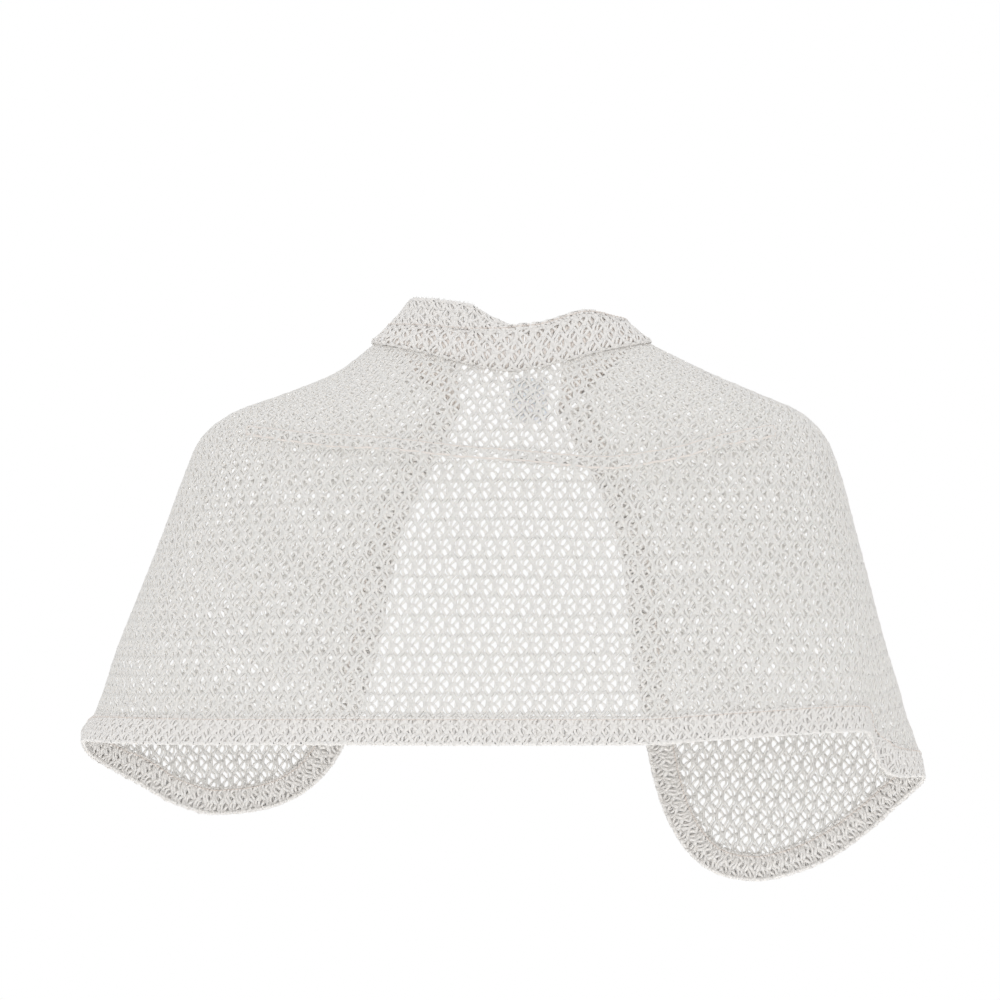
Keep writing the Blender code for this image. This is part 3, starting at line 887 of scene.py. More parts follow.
@dataclass
class Finishes:
    """The garment's materials and the node groups that they share."""

    net: YarnFinish = YarnFinish("net_yarn", (0.93, 0.911, 0.884), (0.87, 0.848, 0.815))
    hem: YarnFinish = YarnFinish("hem_yarn", (0.97, 0.944, 0.917), (0.93, 0.90, 0.868), sheen=0.45)
    stitch: YarnFinish = YarnFinish(
        "stitch_thread", (0.90, 0.83, 0.78), (0.82, 0.73, 0.67), roughness=0.6, sheen=0.1, bump=0.2
    )
    # inside: a lighter copy of the hem yarn for the front hems' inner faces, painted light that lifts the shade
    # there
    inside: YarnFinish = YarnFinish("inside_hem_yarn", (0.98, 0.953, 0.924), (0.95, 0.917, 0.882))
    # turned: a darker, warmer copy of the yarn, painted shade for the shadowed inner layer of the collar and for the
    # shadow lines along the tuck's folds
    turned: YarnFinish = YarnFinish("turned_yarn", (0.95, 0.885, 0.835), (0.90, 0.82, 0.76))

    def yarn_group(self) -> bpy.types.NodeTree:
        """The group that gives every yarn its twisted plies, fibres and uneven colour, with painted shade in the
        grooves between the plies.

        Returns:
            A node group with named inputs and outputs.
        """
        group = bpy.data.node_groups.new("yarn_surface", "ShaderNodeTree")
        face = group.interface
        for name, kind in (("Colour", "Color"), ("Shade", "Color"), ("Plies", "Float"), ("Roughness", "Float")):
            face.new_socket(name, in_out="INPUT", socket_type=f"NodeSocket{kind}")
        for name, kind in (("Colour", "Color"), ("Roughness", "Float"), ("Height", "Float")):
            face.new_socket(name, in_out="OUTPUT", socket_type=f"NodeSocket{kind}")
        nodes, links = group.nodes, group.links
        given, result = nodes.new("NodeGroupInput"), nodes.new("NodeGroupOutput")
        place, place_3d = nodes.new("ShaderNodeUVMap"), nodes.new("ShaderNodeTexCoord")
        place.uv_map = "yarn"
        split = nodes.new("ShaderNodeSeparateXYZ")
        links.new(place.outputs["UV"], split.inputs["Vector"])
        twist = self.maths(nodes, links, "MULTIPLY", split.outputs["X"], given.outputs["Plies"])
        lay = self.maths(nodes, links, "MULTIPLY", split.outputs["Y"], 3.0)
        wave = self.maths(nodes, links, "ADD", twist, lay)
        turn = self.maths(nodes, links, "MULTIPLY", wave, 2 * math.pi)
        ply = self.maths(nodes, links, "SINE", turn, 0.0)
        fibre, cloud = nodes.new("ShaderNodeTexNoise"), nodes.new("ShaderNodeTexNoise")
        fibre.inputs["Scale"].default_value = 2600.0
        fibre.inputs["Detail"].default_value = 3.0
        cloud.inputs["Scale"].default_value = 55.0
        cloud.inputs["Detail"].default_value = 4.0
        for noise in (fibre, cloud):
            links.new(place_3d.outputs["Object"], noise.inputs["Vector"])
        fuzz = self.maths(nodes, links, "MULTIPLY", fibre.outputs["Fac"], 0.9)
        crest = self.maths(nodes, links, "MULTIPLY", ply, 0.30)
        height = self.maths(nodes, links, "ADD", crest, fuzz)
        uneven = self.maths(nodes, links, "MULTIPLY", cloud.outputs["Fac"], 0.75)
        # The darker Shade colour in the low places between plies and fibres is painted shade; the cloud's part is
        # random tone.
        ply_groove_shade = self.maths(nodes, links, "MULTIPLY", height, 0.35)
        light = self.maths(nodes, links, "ADD", uneven, ply_groove_shade, clamp=True)
        mix = nodes.new("ShaderNodeMix")
        mix.data_type = "RGBA"
        links.new(light, mix.inputs["Factor"])
        links.new(given.outputs["Shade"], mix.inputs["A"])
        links.new(given.outputs["Colour"], mix.inputs["B"])
        rough = self.maths(nodes, links, "MULTIPLY", fibre.outputs["Fac"], 0.12)
        rough = self.maths(nodes, links, "ADD", rough, given.outputs["Roughness"], clamp=True)
        colour = next(out for out in mix.outputs if out.type == "RGBA")
        links.new(colour, result.inputs["Colour"])
        links.new(rough, result.inputs["Roughness"])
        links.new(height, result.inputs["Height"])
        return group

    @staticmethod
    def maths(
        nodes: bpy.types.Nodes,
        links: bpy.types.NodeLinks,
        kind: str,
        first: bpy.types.NodeSocket,
        second: "bpy.types.NodeSocket | float",
        clamp: bool = False,
    ) -> bpy.types.NodeSocket:
        """Adds a maths node.

        Args:
            nodes: the group's nodes.
            links: the group's links.
            kind: the operation.
            first: the socket of the first value.
            second: the second value or its socket.
            clamp: whether the result stays between 0 and 1.

        Returns:
            The result's socket.
        """
        node = nodes.new("ShaderNodeMath")
        node.operation = kind
        node.use_clamp = clamp
        links.new(first, node.inputs[0])
        if isinstance(second, (int, float)):
            node.inputs[1].default_value = second
        else:
            links.new(second, node.inputs[1])
        return node.outputs[0]


@dataclass
class NetPanel:
    """One panel of open net, from the neck seam to the top of its hem, or one half of it."""

    name: str
    node: str
    patch: ClothPatch
    outline: Outline
    shell: Shell
    side: Side | None = None
    tuck: Outline | None = None

    def build(self, materials: list[bpy.types.Material], hem: str) -> bpy.types.Object:
        """Args:
            materials: net yarn, inside yarn lightened as painted light, seam thread and turned yarn darkened as
                painted shade.
            hem: not used.

        Returns:
            The panel's piece.
        """
        mesh = StrandMesh()
        shells = self.shell.lay(mesh, self.patch, self.outline, side=self.side, skip=self.tuck)
        self.shell.edging(mesh, self.patch, self.outline, side=self.side)
        piece = mesh.build(self.name, materials)
        declare(piece, "net", self.node)
        half = self.outline if self.side is None else self.outline.half(self.side)
        width, length = half.size()
        log.info("%s: %d shells, %d faces, %.0f x %.0f mm", self.name, shells, mesh.size, width, length)
        half.area() * MM * MM
        return piece


def declare(piece: bpy.types.Object, slot: str, *nodes: str) -> None:
    """Lets a piece ride the root body and hides the CAD nodes that it stands for.

    Args:
        piece: the piece.
        slot: not used.
        nodes: the CAD nodes that it replaces.
    """
    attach(piece, "root")
    if nodes:
        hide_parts(*nodes)


@dataclass
class BandStrip:
    """A strip of cloth between lines on the form, such as a hem, unrolled along its middle."""

    lines: list[Array]
    normals: list[Array]
    spacing: float = 2.5
    deep: int = 17

    def unroll(self) -> tuple[ClothPatch, Array]:
        """Lays the strip flat: u along it, v across it from its outer edge.

        Returns:
            The flat strip, and how far it goes across at each place along.
        """
        grid, away = np.array(self.lines), np.array(self.normals)
        middle = run_length(grid[len(grid) // 2])
        u = np.arange(0, middle[-1] + self.spacing, self.spacing)
        at = np.interp(u, middle, np.arange(len(middle)))
        grid, away = (self.between(part.swapaxes(0, 1), at).swapaxes(0, 1) for part in (grid, away))
        across = np.linalg.norm(np.diff(grid, axis=0), axis=-1)
        across = np.concatenate([np.zeros((1, len(u))), np.cumsum(across, axis=0)], axis=0)
        v = np.linspace(0, across[-1].max(), self.deep)
        marks = np.arange(len(grid))
        points, normals = [], []
        for j in range(len(u)):
            row = np.interp(v, across[:, j], marks)
            points.append(self.between(grid[:, j], row))
            normals.append(self.between(away[:, j], row))
        flat = ClothPatch(u, v, np.array(points).swapaxes(0, 1), unit(np.array(normals).swapaxes(0, 1)))
        return flat, across[-1]

    @staticmethod
    def between(values: Array, at: Array) -> Array:
        """Values at places between the rows of an array."""
        i = np.clip(at.astype(int), 0, len(values) - 2)
        share = (at - i).reshape(-1, *([1] * (values.ndim - 1)))
        return values[i] * (1 - share) + values[i + 1] * share

    @staticmethod
    def outline(patch: ClothPatch, reach: Array) -> Outline:
        """The flat strip's edge."""
        along = np.clip(patch.u, 0.4, patch.u[-1] - 0.4)
        low = np.stack([along, np.full_like(along, 0.3)], axis=-1)
        return Outline(np.concatenate([low, np.stack([along, reach], axis=-1)[::-1]]))


@dataclass
class HemBand:
    """A hem: cloth turned in twice, with a stitch line at its top and a soft uneven fold."""

    name: str
    node: str
    strip: BandStrip
    shell: Shell
    thickness: float = 2.4
    loops: float = 2.6
    stitch: float = 3.4
    layers: int = 3
    fluff: float = 1.1
    hairs: float = 0.8
    seed: int = 3
    painted_light_inside_finish: int = 0
    scale: float = 0.9
    fill: float = 1.4

    def build(self, materials: list[bpy.types.Material]) -> bpy.types.Object:
        """Args:
            materials: hem yarn, inside yarn lightened as painted light, seam thread and turned yarn darkened as
                painted shade.

        Returns:
            The hem's piece.
        """
        mesh, trim = StrandMesh(), StrandMesh()
        patch, reach = self.strip.unroll()
        outline = self.strip.outline(patch, reach)
        length = float(patch.u[-1])
        out = self.thickness / 2 - 0.45
        inner = self.painted_light_inside_finish
        shell = replace(self.shell, fill=self.fill)
        shell.lay(mesh, patch, outline, lift=out, scale=self.scale)
        # The inner ribs and net take the inner finish: for the fronts, the lighter inside yarn, painted light on
        # shaded faces.
        shell.ribs(mesh, patch, reach, 0.12, inner)
        shell.lay(mesh, patch, outline, lift=-out, shift=0.45, scale=self.scale, finish=inner)
        self.fold(trim, patch, length)
        self.fuzz(trim, patch, length)
        self.stitches(trim, patch, reach)
        piece = mesh.build(self.name, materials)
        edge = trim.build(f"{self.name}_edge", materials)
        declare(piece, "hem", self.node)
        declare(edge, "hem")
        self.layers * outline.area() * MM * MM
        log.info("%s: %d + %d faces, %.0f x %.1f mm", self.name, mesh.size, trim.size, length, np.median(reach))
        return piece

    def outward(self, patch: ClothPatch, u: Array) -> tuple[Array, Array, Array]:
        """The fold's points, the cloth's normals and the directions out of the hem there."""
        edge, normals = patch.sample(u, np.zeros_like(u))
        inside, _ = patch.sample(u, np.full_like(u, 2.0))
        return edge, normals, unit(edge - inside)

    def fold(self, mesh: StrandMesh, patch: ClothPatch, length: float) -> None:
        """Turns small uneven loops round the fold, so that the edge is soft.

        Args:
            mesh: where the strands go.
            patch: the strip.
            length: the hem's length in millimetres.
        """
        chance = np.random.default_rng(self.seed)
        count = int(length / self.loops)
        u = (np.arange(count) + 0.5) * length / count + chance.normal(0, 0.45, count)
        wave = 0.5 + 0.5 * soft_noise(u, 0 * u, 34.0, 0.4 * self.seed)
        depth = (0.45 * chance.uniform(0.0, 1.0, count) + 0.55 * wave) * self.fluff - 0.35
        marks = np.linspace(-1, 1, 6)
        turn = marks * math.pi / 2
        place_u = u[:, None] + chance.normal(0, 0.7, count)[:, None] * marks[None, :]
        inner = 1.4 - (1.4 + depth[:, None]) * np.cos(turn)[None, :]
        points, normals = patch.sample(place_u, np.maximum(inner, 0.0))
        _, _, out = self.outward(patch, place_u)
        lift = np.sin(turn) * (self.thickness / 2 - 0.4)
        points = points - out * np.minimum(inner, 0.0)[..., None] + normals * lift[None, :, None]
        wide = np.full(points.shape[:2], 1.7) * chance.uniform(0.8, 1.25, (count, 1))
        mesh.add(points, out, wide, wide * 0.6)

    def fuzz(self, mesh: StrandMesh, patch: ClothPatch, length: float) -> None:
        """Lets fine loose fibres stand off the fold.

        Args:
            mesh: where the fibres go.
            patch: the strip.
            length: the hem's length in millimetres.
        """
        chance = np.random.default_rng(self.seed + 20)
        count = int(length * self.hairs)
        base, normals, out = self.outward(patch, chance.uniform(0.0, length, count))
        along = np.cross(normals, out)
        base = base + normals * chance.uniform(-0.8, 0.8, (count, 1)) - out * 0.4
        reach = chance.uniform(0.8, 1.2 + self.fluff, (count, 1))
        curl = chance.normal(0, 1.0, (count, 1))
        marks = [base, base + out * reach * 0.6 + along * curl * 0.3, base + out * reach + along * curl]
        middle = np.stack(marks, axis=1)
        wide = np.full(middle.shape[:2], 0.24)
        mesh.add(middle, np.repeat(normals[:, None], 3, axis=1), wide, wide)

    def stitches(self, mesh: StrandMesh, patch: ClothPatch, reach: Array) -> None:
        """Sews a row of small stitches along the hem's top, on both faces.

        Args:
            mesh: where the strands go.
            patch: the strip.
            reach: how far the strip goes across at each of the patch's places along.
        """
        length = float(patch.u[-1])
        count = int(length / self.stitch)
        start = np.arange(count) * length / count
        marks = np.linspace(0, 1, 3)
        dip = np.array([-0.35, 0.3, -0.35])
        for face in (1, -1):
            u = start[:, None] + (0.08 + 0.84 * marks[None, :]) * self.stitch
            v = np.interp(u, patch.u, reach) - 1.8
            points, normals = patch.sample(u, v)
            off = face * (self.thickness / 2 + dip)
            wide = np.full(u.shape, 0.75)
            mesh.add(points + normals * off[None, :, None], normals, wide, wide * 0.8, finish=2)


@dataclass
class DrapeTuck:
    """The narrow tuck where the cloth folds over itself across the upper back."""

    form: CapeForm
    shell: Shell
    reach: float = 186.0
    rows: int = 7
    lift: float = 0.9
    row: float = 10.2
    deepest: float = 9.4
    # the width of the painted shadow lines along the tuck's edges
    crease_shadow_width: float = 1.6

    def lines(self) -> list[tuple[Array, Array]]:
        """Its lower and upper edges on the form.

        Returns:
            Angles in radians and levels, for each edge.
        """
        angle = np.radians(np.linspace(-86.0, 86.0, 241))
        levels = np.linspace(0.02, 0.7, 240)
        grid = self.form.plain(angle[:, None], levels[None, :])
        x = np.linspace(-self.reach, self.reach, 160)
        found = []
        for values in (DRAPE_FOLD.low, DRAPE_FOLD.top):
            height = smooth_read(grid[..., 0], DRAPE_FOLD.x, values)
            top = smooth_read(grid[..., 0], DRAPE_FOLD.x, DRAPE_FOLD.top)
            below = np.maximum(height, top - self.deepest) - grid[..., 2]
            s = np.array([np.interp(0.0, row, levels) for row in below])
            place = np.array([np.interp(v, levels, row) for v, row in zip(s, grid[..., 0])])
            found.append((np.interp(x, place, angle), np.interp(x, place, s)))
        return found

    def outline(self, chart: PanelChart) -> Outline:
        """The tuck's outline on the flat back panel."""
        low, top = (chart.flat(*line) for line in self.lines())
        return Outline(np.concatenate([low, top[::-1]]))

    def build(self, materials: list[bpy.types.Material], under: list[str]) -> bpy.types.Object:
        """Lays one row of shells along the tuck, with a darker strand along each of its edges, a painted shadow line
        where the cloth folds.

        Args:
            materials: net yarn, inside yarn lightened as painted light, seam thread and turned yarn darkened as
                painted shade.
            under: not used.

        Returns:
            The tuck's piece.
        """
        (low_angle, low_s), (top_angle, top_s) = self.lines()
        shares = np.linspace(0, 1, self.rows)
        places = [(low_angle * (1 - k) + top_angle * k, low_s * (1 - k) + top_s * k) for k in shares]
        normals = [self.form.normal(*place) for place in places]
        points = [self.form.folded(*place) + away * self.lift for place, away in zip(places, normals)]
        patch, reach = BandStrip(points, normals).unroll()
        outline = BandStrip.outline(patch, reach)
        mesh = StrandMesh()
        replace(self.shell, row=self.row).lay(mesh, patch, outline, shift=1.35)
        # The edge strands take the darker turned yarn: painted shadow lines along the tuck's folds.
        self.shell.edging(mesh, patch, outline, wide=self.crease_shadow_width, lift=0.1, finish=3)
        piece = mesh.build("drape_tuck_net", materials)
        declare(piece, "net", "back_panel")
        2 * outline.area() * MM * MM
        log.info("drape_tuck_net: %d faces, %.0f x %.1f mm", mesh.size, patch.u[-1], reach.max())
        return piece


@dataclass
class Collar:
    """The soft collar: a net band that rolls out over the neck seam, and its folded edge."""

    form: CapeForm
    shell: Shell
    ends: float = 148.0
    settled: float = 118.0
    columns: int = 241
    rows: int = 21
    edge_rows: int = 17
    bend: float = 3.2
    shank: float = 1.2
    gap: float = 0.3
    wall: float = 1.6
    hem_wall: float = 2.6

    def value(self, angle: Array, name: str) -> Array:
        """A measure of the collar at angles in radians."""
        return smooth_read(np.degrees(angle), COLLAR.angle, getattr(COLLAR, name))

    def base(self, angle: Array) -> tuple[Array, Array, Array, Array]:
        """The neck ring at each angle: its points, the level direction out, and the cloth's slope."""
        level = np.zeros_like(angle)
        lean = self.form.plain_normal(angle, level)
        away = unit(lean * np.array([1.0, 1.0, 0.0]))
        return self.form.plain(angle, level), away, (lean * away).sum(-1), lean[..., 2]

    def profile(self, angle: Array) -> tuple[Array, Array]:
        """The collar's middle line at each angle.

        Args:
            angle: angles in radians.

        Returns:
            Distances out and up from the neck ring, rows by angles.
        """
        height, lean, roll = (self.value(angle, name) for name in ("height", "lean", "roll"))
        _, _, slope_out, slope_up = self.base(angle)
        near_end = smooth_step(np.abs(np.degrees(angle)), self.settled, self.ends)
        clear = self.wall / 2 + self.gap + 0.5 + (self.hem_wall - self.wall) / 2 * near_end
        marks = []
        for rise, drop in ((0.0, 3.0), (0.5, 3.4), (0.95, 1.6)):
            off = clear + roll * rise
            marks.append((off * slope_out + drop * slope_up, off * slope_up - drop * slope_out))
        for swell, share in ((0.90, 0.28), (0.55, 0.62), (0.0, 1.0)):
            marks.append((clear * slope_out + roll * swell - lean * share, clear * slope_up + height * share))
        out, up = (self.through(np.array([mark[k] for mark in marks])) for k in (0, 1))
        return out, up

    def through(self, marks: Array) -> Array:
        """Values at even places on a smooth curve through marks."""
        at = np.linspace(0, len(marks) - 1, self.rows)
        i = np.clip(at.astype(int), 0, len(marks) - 2)
        t = (at - i)[:, None]
        tangent = np.gradient(marks, axis=0)
        rise = t * t * (3 - 2 * t)
        bend = tangent[i] * t * (1 - t) ** 2 + tangent[i + 1] * t * t * (t - 1)
        return marks[i] * (1 - rise) + marks[i + 1] * rise + bend

    def edge(self, angle: Array, out: Array, up: Array) -> tuple[Array, Array]:
        """The folded edge's middle line: it stands on the left and dives inside on the right.

        Args:
            angle: angles in radians.
            out: the collar's distances out.
            up: the collar's distances up.

        Returns:
            The edge's distances out and up.
        """
        first = np.arctan2(-(out[-1] - out[-3]), up[-1] - up[-3])
        turn = np.radians(self.value(angle, "turn"))
        bend = self.bend * np.abs(turn - first)
        total = bend + np.maximum(self.value(angle, "band") - bend, 2.0)
        place_out = out[-1] - np.sin(first) * self.gap
        place_up = up[-1] + np.cos(first) * self.gap
        found_out, found_up = [place_out], [place_up]
        place_out = place_out - np.sin(first) * self.shank
        place_up = place_up + np.cos(first) * self.shank
        steps = (self.edge_rows - 2) * 4
        for i in range(steps + 1):
            if i % 4 == 0:
                found_out.append(place_out)
                found_up.append(place_up)
            run = total * (i + 0.5) / steps
            heading = first + (turn - first) * np.clip(run / np.maximum(bend, 1e-6), 0, 1)
            place_out = place_out - np.sin(heading) * total / steps
            place_up = place_up + np.cos(heading) * total / steps
        return np.array(found_out), np.array(found_up)

    def strip(self, angle: Array, out: Array, up: Array, flip: bool = False) -> BandStrip:
        """A strip over the neck ring.

        Args:
            angle: angles in radians.
            out: distances out, rows by angles.
            up: distances up.
            flip: whether the strip's first row is its top.

        Returns:
            The strip with its lines and normals.
        """
        base, away, _, _ = self.base(angle)
        grid = base[None] + away[None] * out[..., None] + np.array([0.0, 0.0, 1.0]) * up[..., None]
        normal = unit(np.cross(-np.gradient(grid, axis=0), np.gradient(grid, axis=1)))
        if flip:
            grid, normal = grid[::-1], normal[::-1]
        return BandStrip(list(grid), list(normal))

    def build(self, materials: list[bpy.types.Material]) -> list[bpy.types.Object]:
        """Args:
            materials: hem yarn, inside yarn lightened as painted light, seam thread and turned yarn darkened as
                painted shade.

        Returns:
            The two pieces.
        """
        angle = np.radians(np.linspace(-self.ends, self.ends, self.columns))
        out, up = self.profile(angle)
        patch, reach = self.strip(angle, out, up).unroll()
        outline = BandStrip.outline(patch, reach)
        mesh = StrandMesh()
        replace(self.shell, fill=1.3).lay(mesh, patch, outline, lift=0.35, shift=0.2)
        # The inner ribs take the darker turned yarn: painted shade for the layer that lies in shadow behind the net.
        self.shell.ribs(mesh, patch, reach, -0.55, finish=3)
        piece = mesh.build("collar_net", materials)
        declare(piece, "net", "collar")
        2 * outline.area() * MM * MM
        strip = self.strip(angle, *self.edge(angle, out, up), flip=True)
        edge = HemBand("collar_edge_band", "collar_edge", strip, self.shell, fluff=1.8, hairs=1.6, seed=11)
        return [piece, edge.build(materials)]


@dataclass
class Label:
    """The blank woven label inside the back, sewn on along its top edge."""

    form: CapeForm
    x: float = 13.0
    width: float = 27.0
    top: float = -7.0
    length: float = 32.0
    clear: float = 1.1
    thickness: float = 0.8
    columns: int = 25
    rows: int = 29

    def build(self, tape: bpy.types.Material, thread: bpy.types.Material) -> bpy.types.Object:
        """Weaves the label and sews it on.

        Args:
            tape: the tape's material.
            thread: the stitches' material.

        Returns:
            The label's piece.
        """
        x = self.x + self.width * (np.linspace(0, 1, self.columns) - 0.5)
        z = self.top - self.length * np.linspace(0, 1, self.rows)
        levels = np.linspace(0, 0.4, 200)
        grid = np.zeros((self.rows, self.columns, 3))
        away = np.zeros((self.rows, self.columns, 3))
        for j, place in enumerate(x):
            angle = np.zeros_like(levels)
            for _ in range(12):
                here = self.form.plain(angle, levels)
                side_y = smooth_read(levels, LEVELS.s, LEVELS.side_y)
                angle = np.arctan2(place, side_y - here[:, 1])
            line = self.form.folded(angle, levels)
            s = np.interp(-z, -line[:, 2], levels)
            turn = np.interp(-z, -line[:, 2], angle)
            grid[:, j] = self.form.folded(turn, s)
            away[:, j] = self.form.normal(turn, s)
        outer = grid - away * self.clear
        inner = grid - away * (self.clear + self.thickness)
        vertices = np.concatenate([outer.reshape(-1, 3), inner.reshape(-1, 3)]) * MM
        faces = []
        size = self.rows * self.columns
        for i in range(self.rows - 1):
            for j in range(self.columns - 1):
                a = i * self.columns + j
                ring = (a, a + self.columns, a + self.columns + 1, a + 1)
                faces += [ring, tuple(size + k for k in reversed(ring))]
        rim = [j for j in range(self.columns)]
        rim += [i * self.columns + self.columns - 1 for i in range(1, self.rows)]
        rim += [(self.rows - 1) * self.columns + j for j in range(self.columns - 2, -1, -1)]
        rim += [i * self.columns for i in range(self.rows - 2, 0, -1)]
        faces += [(a, b, size + b, size + a) for a, b in zip(rim, rim[1:] + rim[:1])]
        mesh = bpy.data.meshes.new("label_tape")
        mesh.from_pydata([tuple(v) for v in vertices], [], faces)
        mesh.update()
        mesh.materials.append(tape)
        layer = mesh.uv_layers.new(name="yarn")
        spots = np.array([v.co for v in mesh.vertices])
        corner = np.array([loop.vertex_index for loop in mesh.loops])
        layer.uv.foreach_set("vector", (spots[corner][:, [0, 2]] * 100).ravel().astype(np.float32))
        for face in mesh.polygons:
            face.use_smooth = len(face.vertices) == 4
        piece = bpy.data.objects.new("label_tape", mesh)
        bpy.context.scene.collection.objects.link(piece)
        declare(piece, "label", "label")
        self.tacks(outer, away, thread, piece)
        log.info("label_tape: %d faces", len(mesh.polygons))
        return piece

    def tacks(self, grid: Array, away: Array, thread: bpy.types.Material, tape: bpy.types.Object) -> None:
        """Sews the label's top edge down with small stitches.

        Args:
            grid: the label's outer face.
            away: the cloth's outward normals there.
            thread: the stitches' material.
            tape: not used.
        """
        mesh = StrandMesh()
        for j in range(1, self.columns - 2, 2):
            line = np.array([grid[1, j], grid[1, j] + (grid[1, j + 1] - grid[1, j]) * 0.5, grid[1, j + 1]])
            lift = away[1, j : j + 2].mean(axis=0) * 0.1
            points = (line - away[1, j] * (self.thickness + 0.1) + lift)[None]
            normals = np.repeat(away[1, j][None], 3, axis=0)[None]
            mesh.add(points, normals, np.full((1, 3), 0.45), np.full((1, 3), 0.35))
        stitches = mesh.build("label_stitches", [thread])
        declare(stitches, "label")


@dataclass
class Studio:
    """A pale floor far below, soft light all round and the photograph's camera."""

    floor_z: float = -1.30
    eye: tuple[float, float, float] = (-0.0072, -3.5, -0.0936)
    lens: float = 175.0
    ambient: float = 0.80

    def build(self) -> None:
        """Sets up the floor, the lights, the world and the camera."""
        self.floor()
        self.light("soft_left", (-2.2, -2.4, 1.6), 1.8, 6.5)
        self.light("soft_right", (2.4, -2.0, 1.2), 1.8, 4.0)
        self.light("soft_top", (0.0, 0.3, 2.4), 2.2, 5.0)
        self.light("soft_low", (0.0, 0.05, -1.15), 1.4, 6.0)
        self.light("soft_fill", (0.0, -2.6, -0.95), 1.6, 8.0)
        world = bpy.data.worlds.new("studio")
        world.use_nodes = True
        tree = world.node_tree
        back, path, glow = tree.nodes["Background"], tree.nodes.new("ShaderNodeLightPath"), tree.nodes.new("ShaderNodeMath")
        back.inputs["Color"].default_value = (1.0, 1.0, 1.0, 1.0)
        glow.operation = "MULTIPLY_ADD"
        glow.inputs[1].default_value = 1.0 - self.ambient
        glow.inputs[2].default_value = self.ambient
        tree.links.new(path.outputs["Is Camera Ray"], glow.inputs[0])
        tree.links.new(glow.outputs[0], back.inputs["Strength"])
        bpy.context.scene.world = world
        bpy.context.scene.view_settings.view_transform = "Standard"
        lens = bpy.data.cameras.new("camera")
        lens.lens = self.lens
        lens.sensor_width = 36.0
        camera = bpy.data.objects.new("camera", lens)
        camera.location = self.eye
        camera.rotation_euler = (math.pi / 2, 0.0, 0.0)
        bpy.context.scene.collection.objects.link(camera)
        bpy.context.scene.camera = camera

    def floor(self) -> None:
        """Lays the pale floor."""
        half, parts = 4.0, 8
        line = np.linspace(-half, half, parts + 1)
        vertices = [(x, y, self.floor_z) for y in line for x in line]
        faces = [
            (a, a + 1, a + parts + 2, a + parts + 1)
            for row in range(parts)
            for a in range(row * (parts + 1), row * (parts + 1) + parts)
        ]
        mesh = bpy.data.meshes.new("floor")
        mesh.from_pydata(vertices, [], faces)
        material = bpy.data.materials.new("floor_paint")
        material.use_nodes = True
        shader = material.node_tree.nodes["Principled BSDF"]
        shader.inputs["Base Color"].default_value = (0.86, 0.86, 0.85, 1.0)
        shader.inputs["Roughness"].default_value = 0.9
        mesh.materials.append(material)
        floor = bpy.data.objects.new("floor", mesh)
        bpy.context.scene.collection.objects.link(floor)

    def light(self, name: str, place: tuple[float, float, float], size: float, power: float) -> None:
        """Hangs one soft square light that faces the garment.

        Args:
            name: the light's name.
            place: where it hangs, in metres.
            size: its side, in metres.
            power: its power in watts.
        """
        lamp = bpy.data.lights.new(name, "AREA")
        lamp.shape = "SQUARE"
        lamp.size = size
        lamp.energy = power
        holder = bpy.data.objects.new(name, lamp)
        holder.location = place
        away = np.array(place) - np.array([0.0, 0.0, -0.15])
        flat = math.hypot(away[0], away[1])
        holder.rotation_euler = (math.atan2(flat, away[2]), 0.0, math.atan2(away[0], -away[1]))
        bpy.context.scene.collection.objects.link(holder)


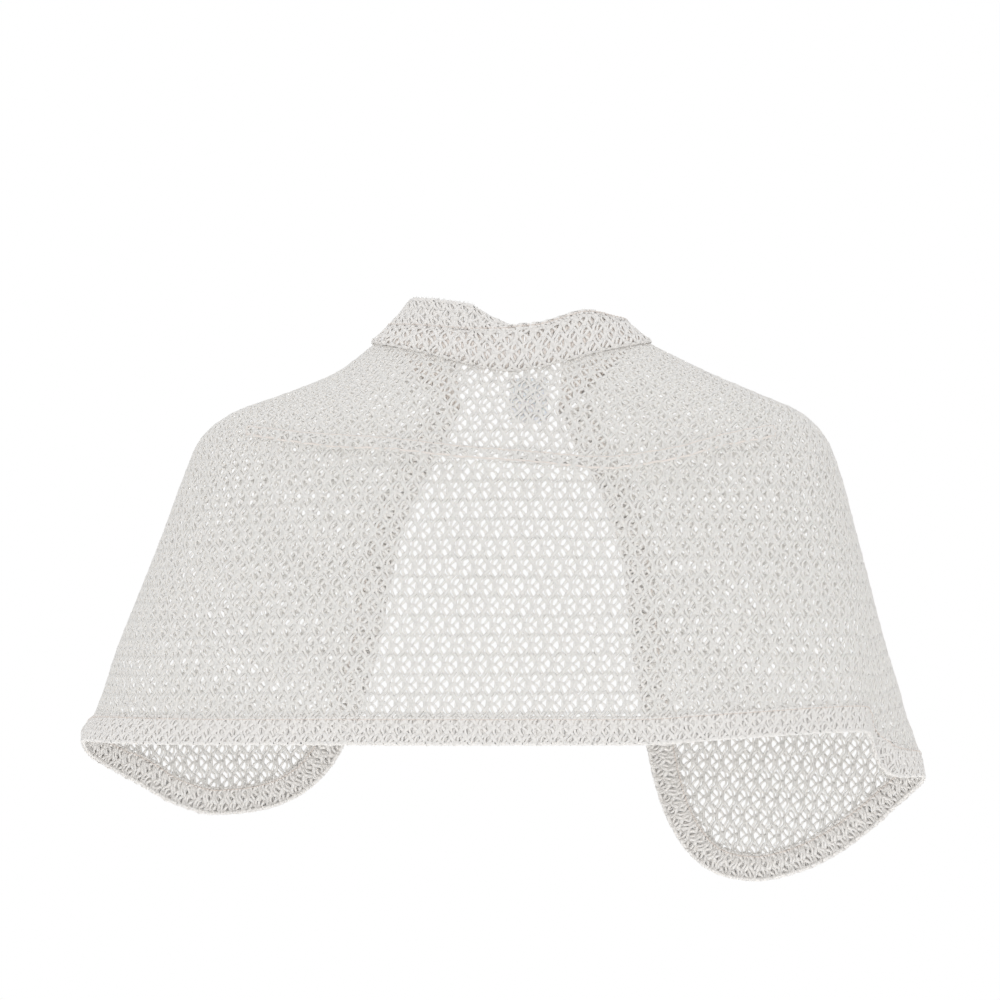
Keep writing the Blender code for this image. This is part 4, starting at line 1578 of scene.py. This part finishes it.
@dataclass
class CapeCardigan:
    """The whole garment: its form, its charts and its pieces in the order they are sewn."""

    form: CapeForm = field(default_factory=CapeForm)
    shell: Shell = field(default_factory=Shell)
    hem_width: float = 19.0
    tuck: float = 6.0
    neck: float = 0.003
    fine: int = 721

    def build(self) -> None:
        """Builds every piece and dresses it."""
        finishes = Finishes()
        yarn = finishes.yarn_group()
        net, hem = finishes.net.material(yarn), finishes.hem.material(yarn)
        stitch, inside = finishes.stitch.material(yarn), finishes.inside.material(yarn)
        turned = finishes.turned.material(yarn)
        cloth, folded = [net, inside, stitch, turned], [hem, inside, stitch, turned]
        self.back(cloth, folded)
        for side in Side:
            self.front(side, cloth, folded)
        Collar(self.form, self.shell).build(folded)
        tape = YarnFinish(
            "label_tape", (0.97, 0.975, 0.99), (0.94, 0.95, 0.985), sheen=0.1, translucence=0.9, plies=30.0, bump=0.1
        )
        Label(self.form).build(tape.material(yarn), stitch)

    def back_line(self, distance: float) -> tuple[Array, Array]:
        """The back hem's edge from seam to seam, moved up by a distance."""
        seam = math.radians(self.form.side_seam)
        line = np.linspace(-seam, seam, self.fine)
        return self.form.inset(line, self.form.hem_level(line), distance)

    def back(self, net: list[bpy.types.Material], hem: list[bpy.types.Material]) -> None:
        """Builds the back panel in two halves, and its hem.

        Args:
            net: the net's materials.
            hem: the hem's materials.
        """
        seam = self.form.side_seam
        lines = [self.back_line(d) for d in np.linspace(0, self.hem_width, 9)]
        strip = BandStrip(
            [self.form.folded(*line) for line in lines],
            [self.form.normal(*line) for line in lines],
        )
        HemBand("back_hem_band", "back_hem", strip, self.shell, seed=3).build(hem)
        chart = PanelChart(self.form, -seam - 8, seam + 8, 0.0)
        patch = chart.patch()
        angle, s = self.back_line(self.hem_width - self.tuck)
        edge = math.radians(seam)
        side_angle, neck = np.full(120, edge), np.full(240, self.neck)
        rise = np.linspace(s[-1], self.neck, 120)
        angle = np.concatenate([angle, side_angle, np.linspace(edge, -edge, 240), -side_angle])
        s = np.concatenate([s, rise, neck, np.linspace(self.neck, s[0], 120)])
        outline = Outline(chart.flat(angle, s))
        tuck = DrapeTuck(self.form, self.shell)
        gap = tuck.outline(chart)
        names = [f"back_net_{side.name.lower()}" for side in Side]
        for side, name in zip(Side, names):
            NetPanel(name, "back_panel", patch, outline, self.shell, side, gap).build(net, "back_hem_band")
        tuck.build(net, names)

    def front(self, side: Side, net: list[bpy.types.Material], hem: list[bpy.types.Material]) -> None:
        """Builds a front panel and its hem.

        Args:
            side: which front.
            net: the net's materials.
            hem: the hem's materials.
        """
        name = side.name.lower()
        along = np.linspace(0, 2, self.fine)
        edge = self.form.front_edge_line(side, along)
        distances = np.linspace(0, self.hem_width, 9)
        lines = [self.form.inset(*edge, distance) for distance in distances]
        lines = [(angle, np.maximum(s, 0.0005)) for angle, s in lines]
        strip = BandStrip(
            [self.form.folded(*line) for line in lines],
            [self.form.normal(*line) for line in lines],
        )
        band = f"{name}_front_hem_band"
        # The front hem's inner layers take the lighter inside yarn, painted light on faces that lie in shade.
        HemBand(band, f"{name}_front_hem", strip, self.shell, seed=5 + side.value, painted_light_inside_finish=1).build(hem)
        seam = self.form.side_seam
        ends = (-165.0, -seam + 8) if side is Side.LEFT else (seam - 8, 165.0)
        chart = PanelChart(self.form, *ends, grain=side.value * 150.0)
        angle, s = self.form.inset(*edge, self.hem_width - self.tuck)
        kept = s > self.neck
        angle, s = angle[kept], s[kept]
        start = math.radians(seam) * side.value
        top = np.linspace(angle[-1], start, 120)
        fall = np.linspace(self.neck, s[0], 120)
        angle = np.concatenate([angle, top, np.full(120, start)])
        s = np.concatenate([s, np.full(120, self.neck), fall])
        outline = Outline(chart.flat(angle, s))
        NetPanel(f"{name}_front_net", f"{name}_front", chart.patch(), outline, self.shell).build(net, band)


def main() -> None:
    """Sets up logging, loads the frame, and builds the garment and the studio."""
    logging.basicConfig(level=logging.INFO, format="%(name)s: %(message)s")
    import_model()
    CapeCardigan().build()
    Studio().build()


if __name__ == "__main__":
    main()
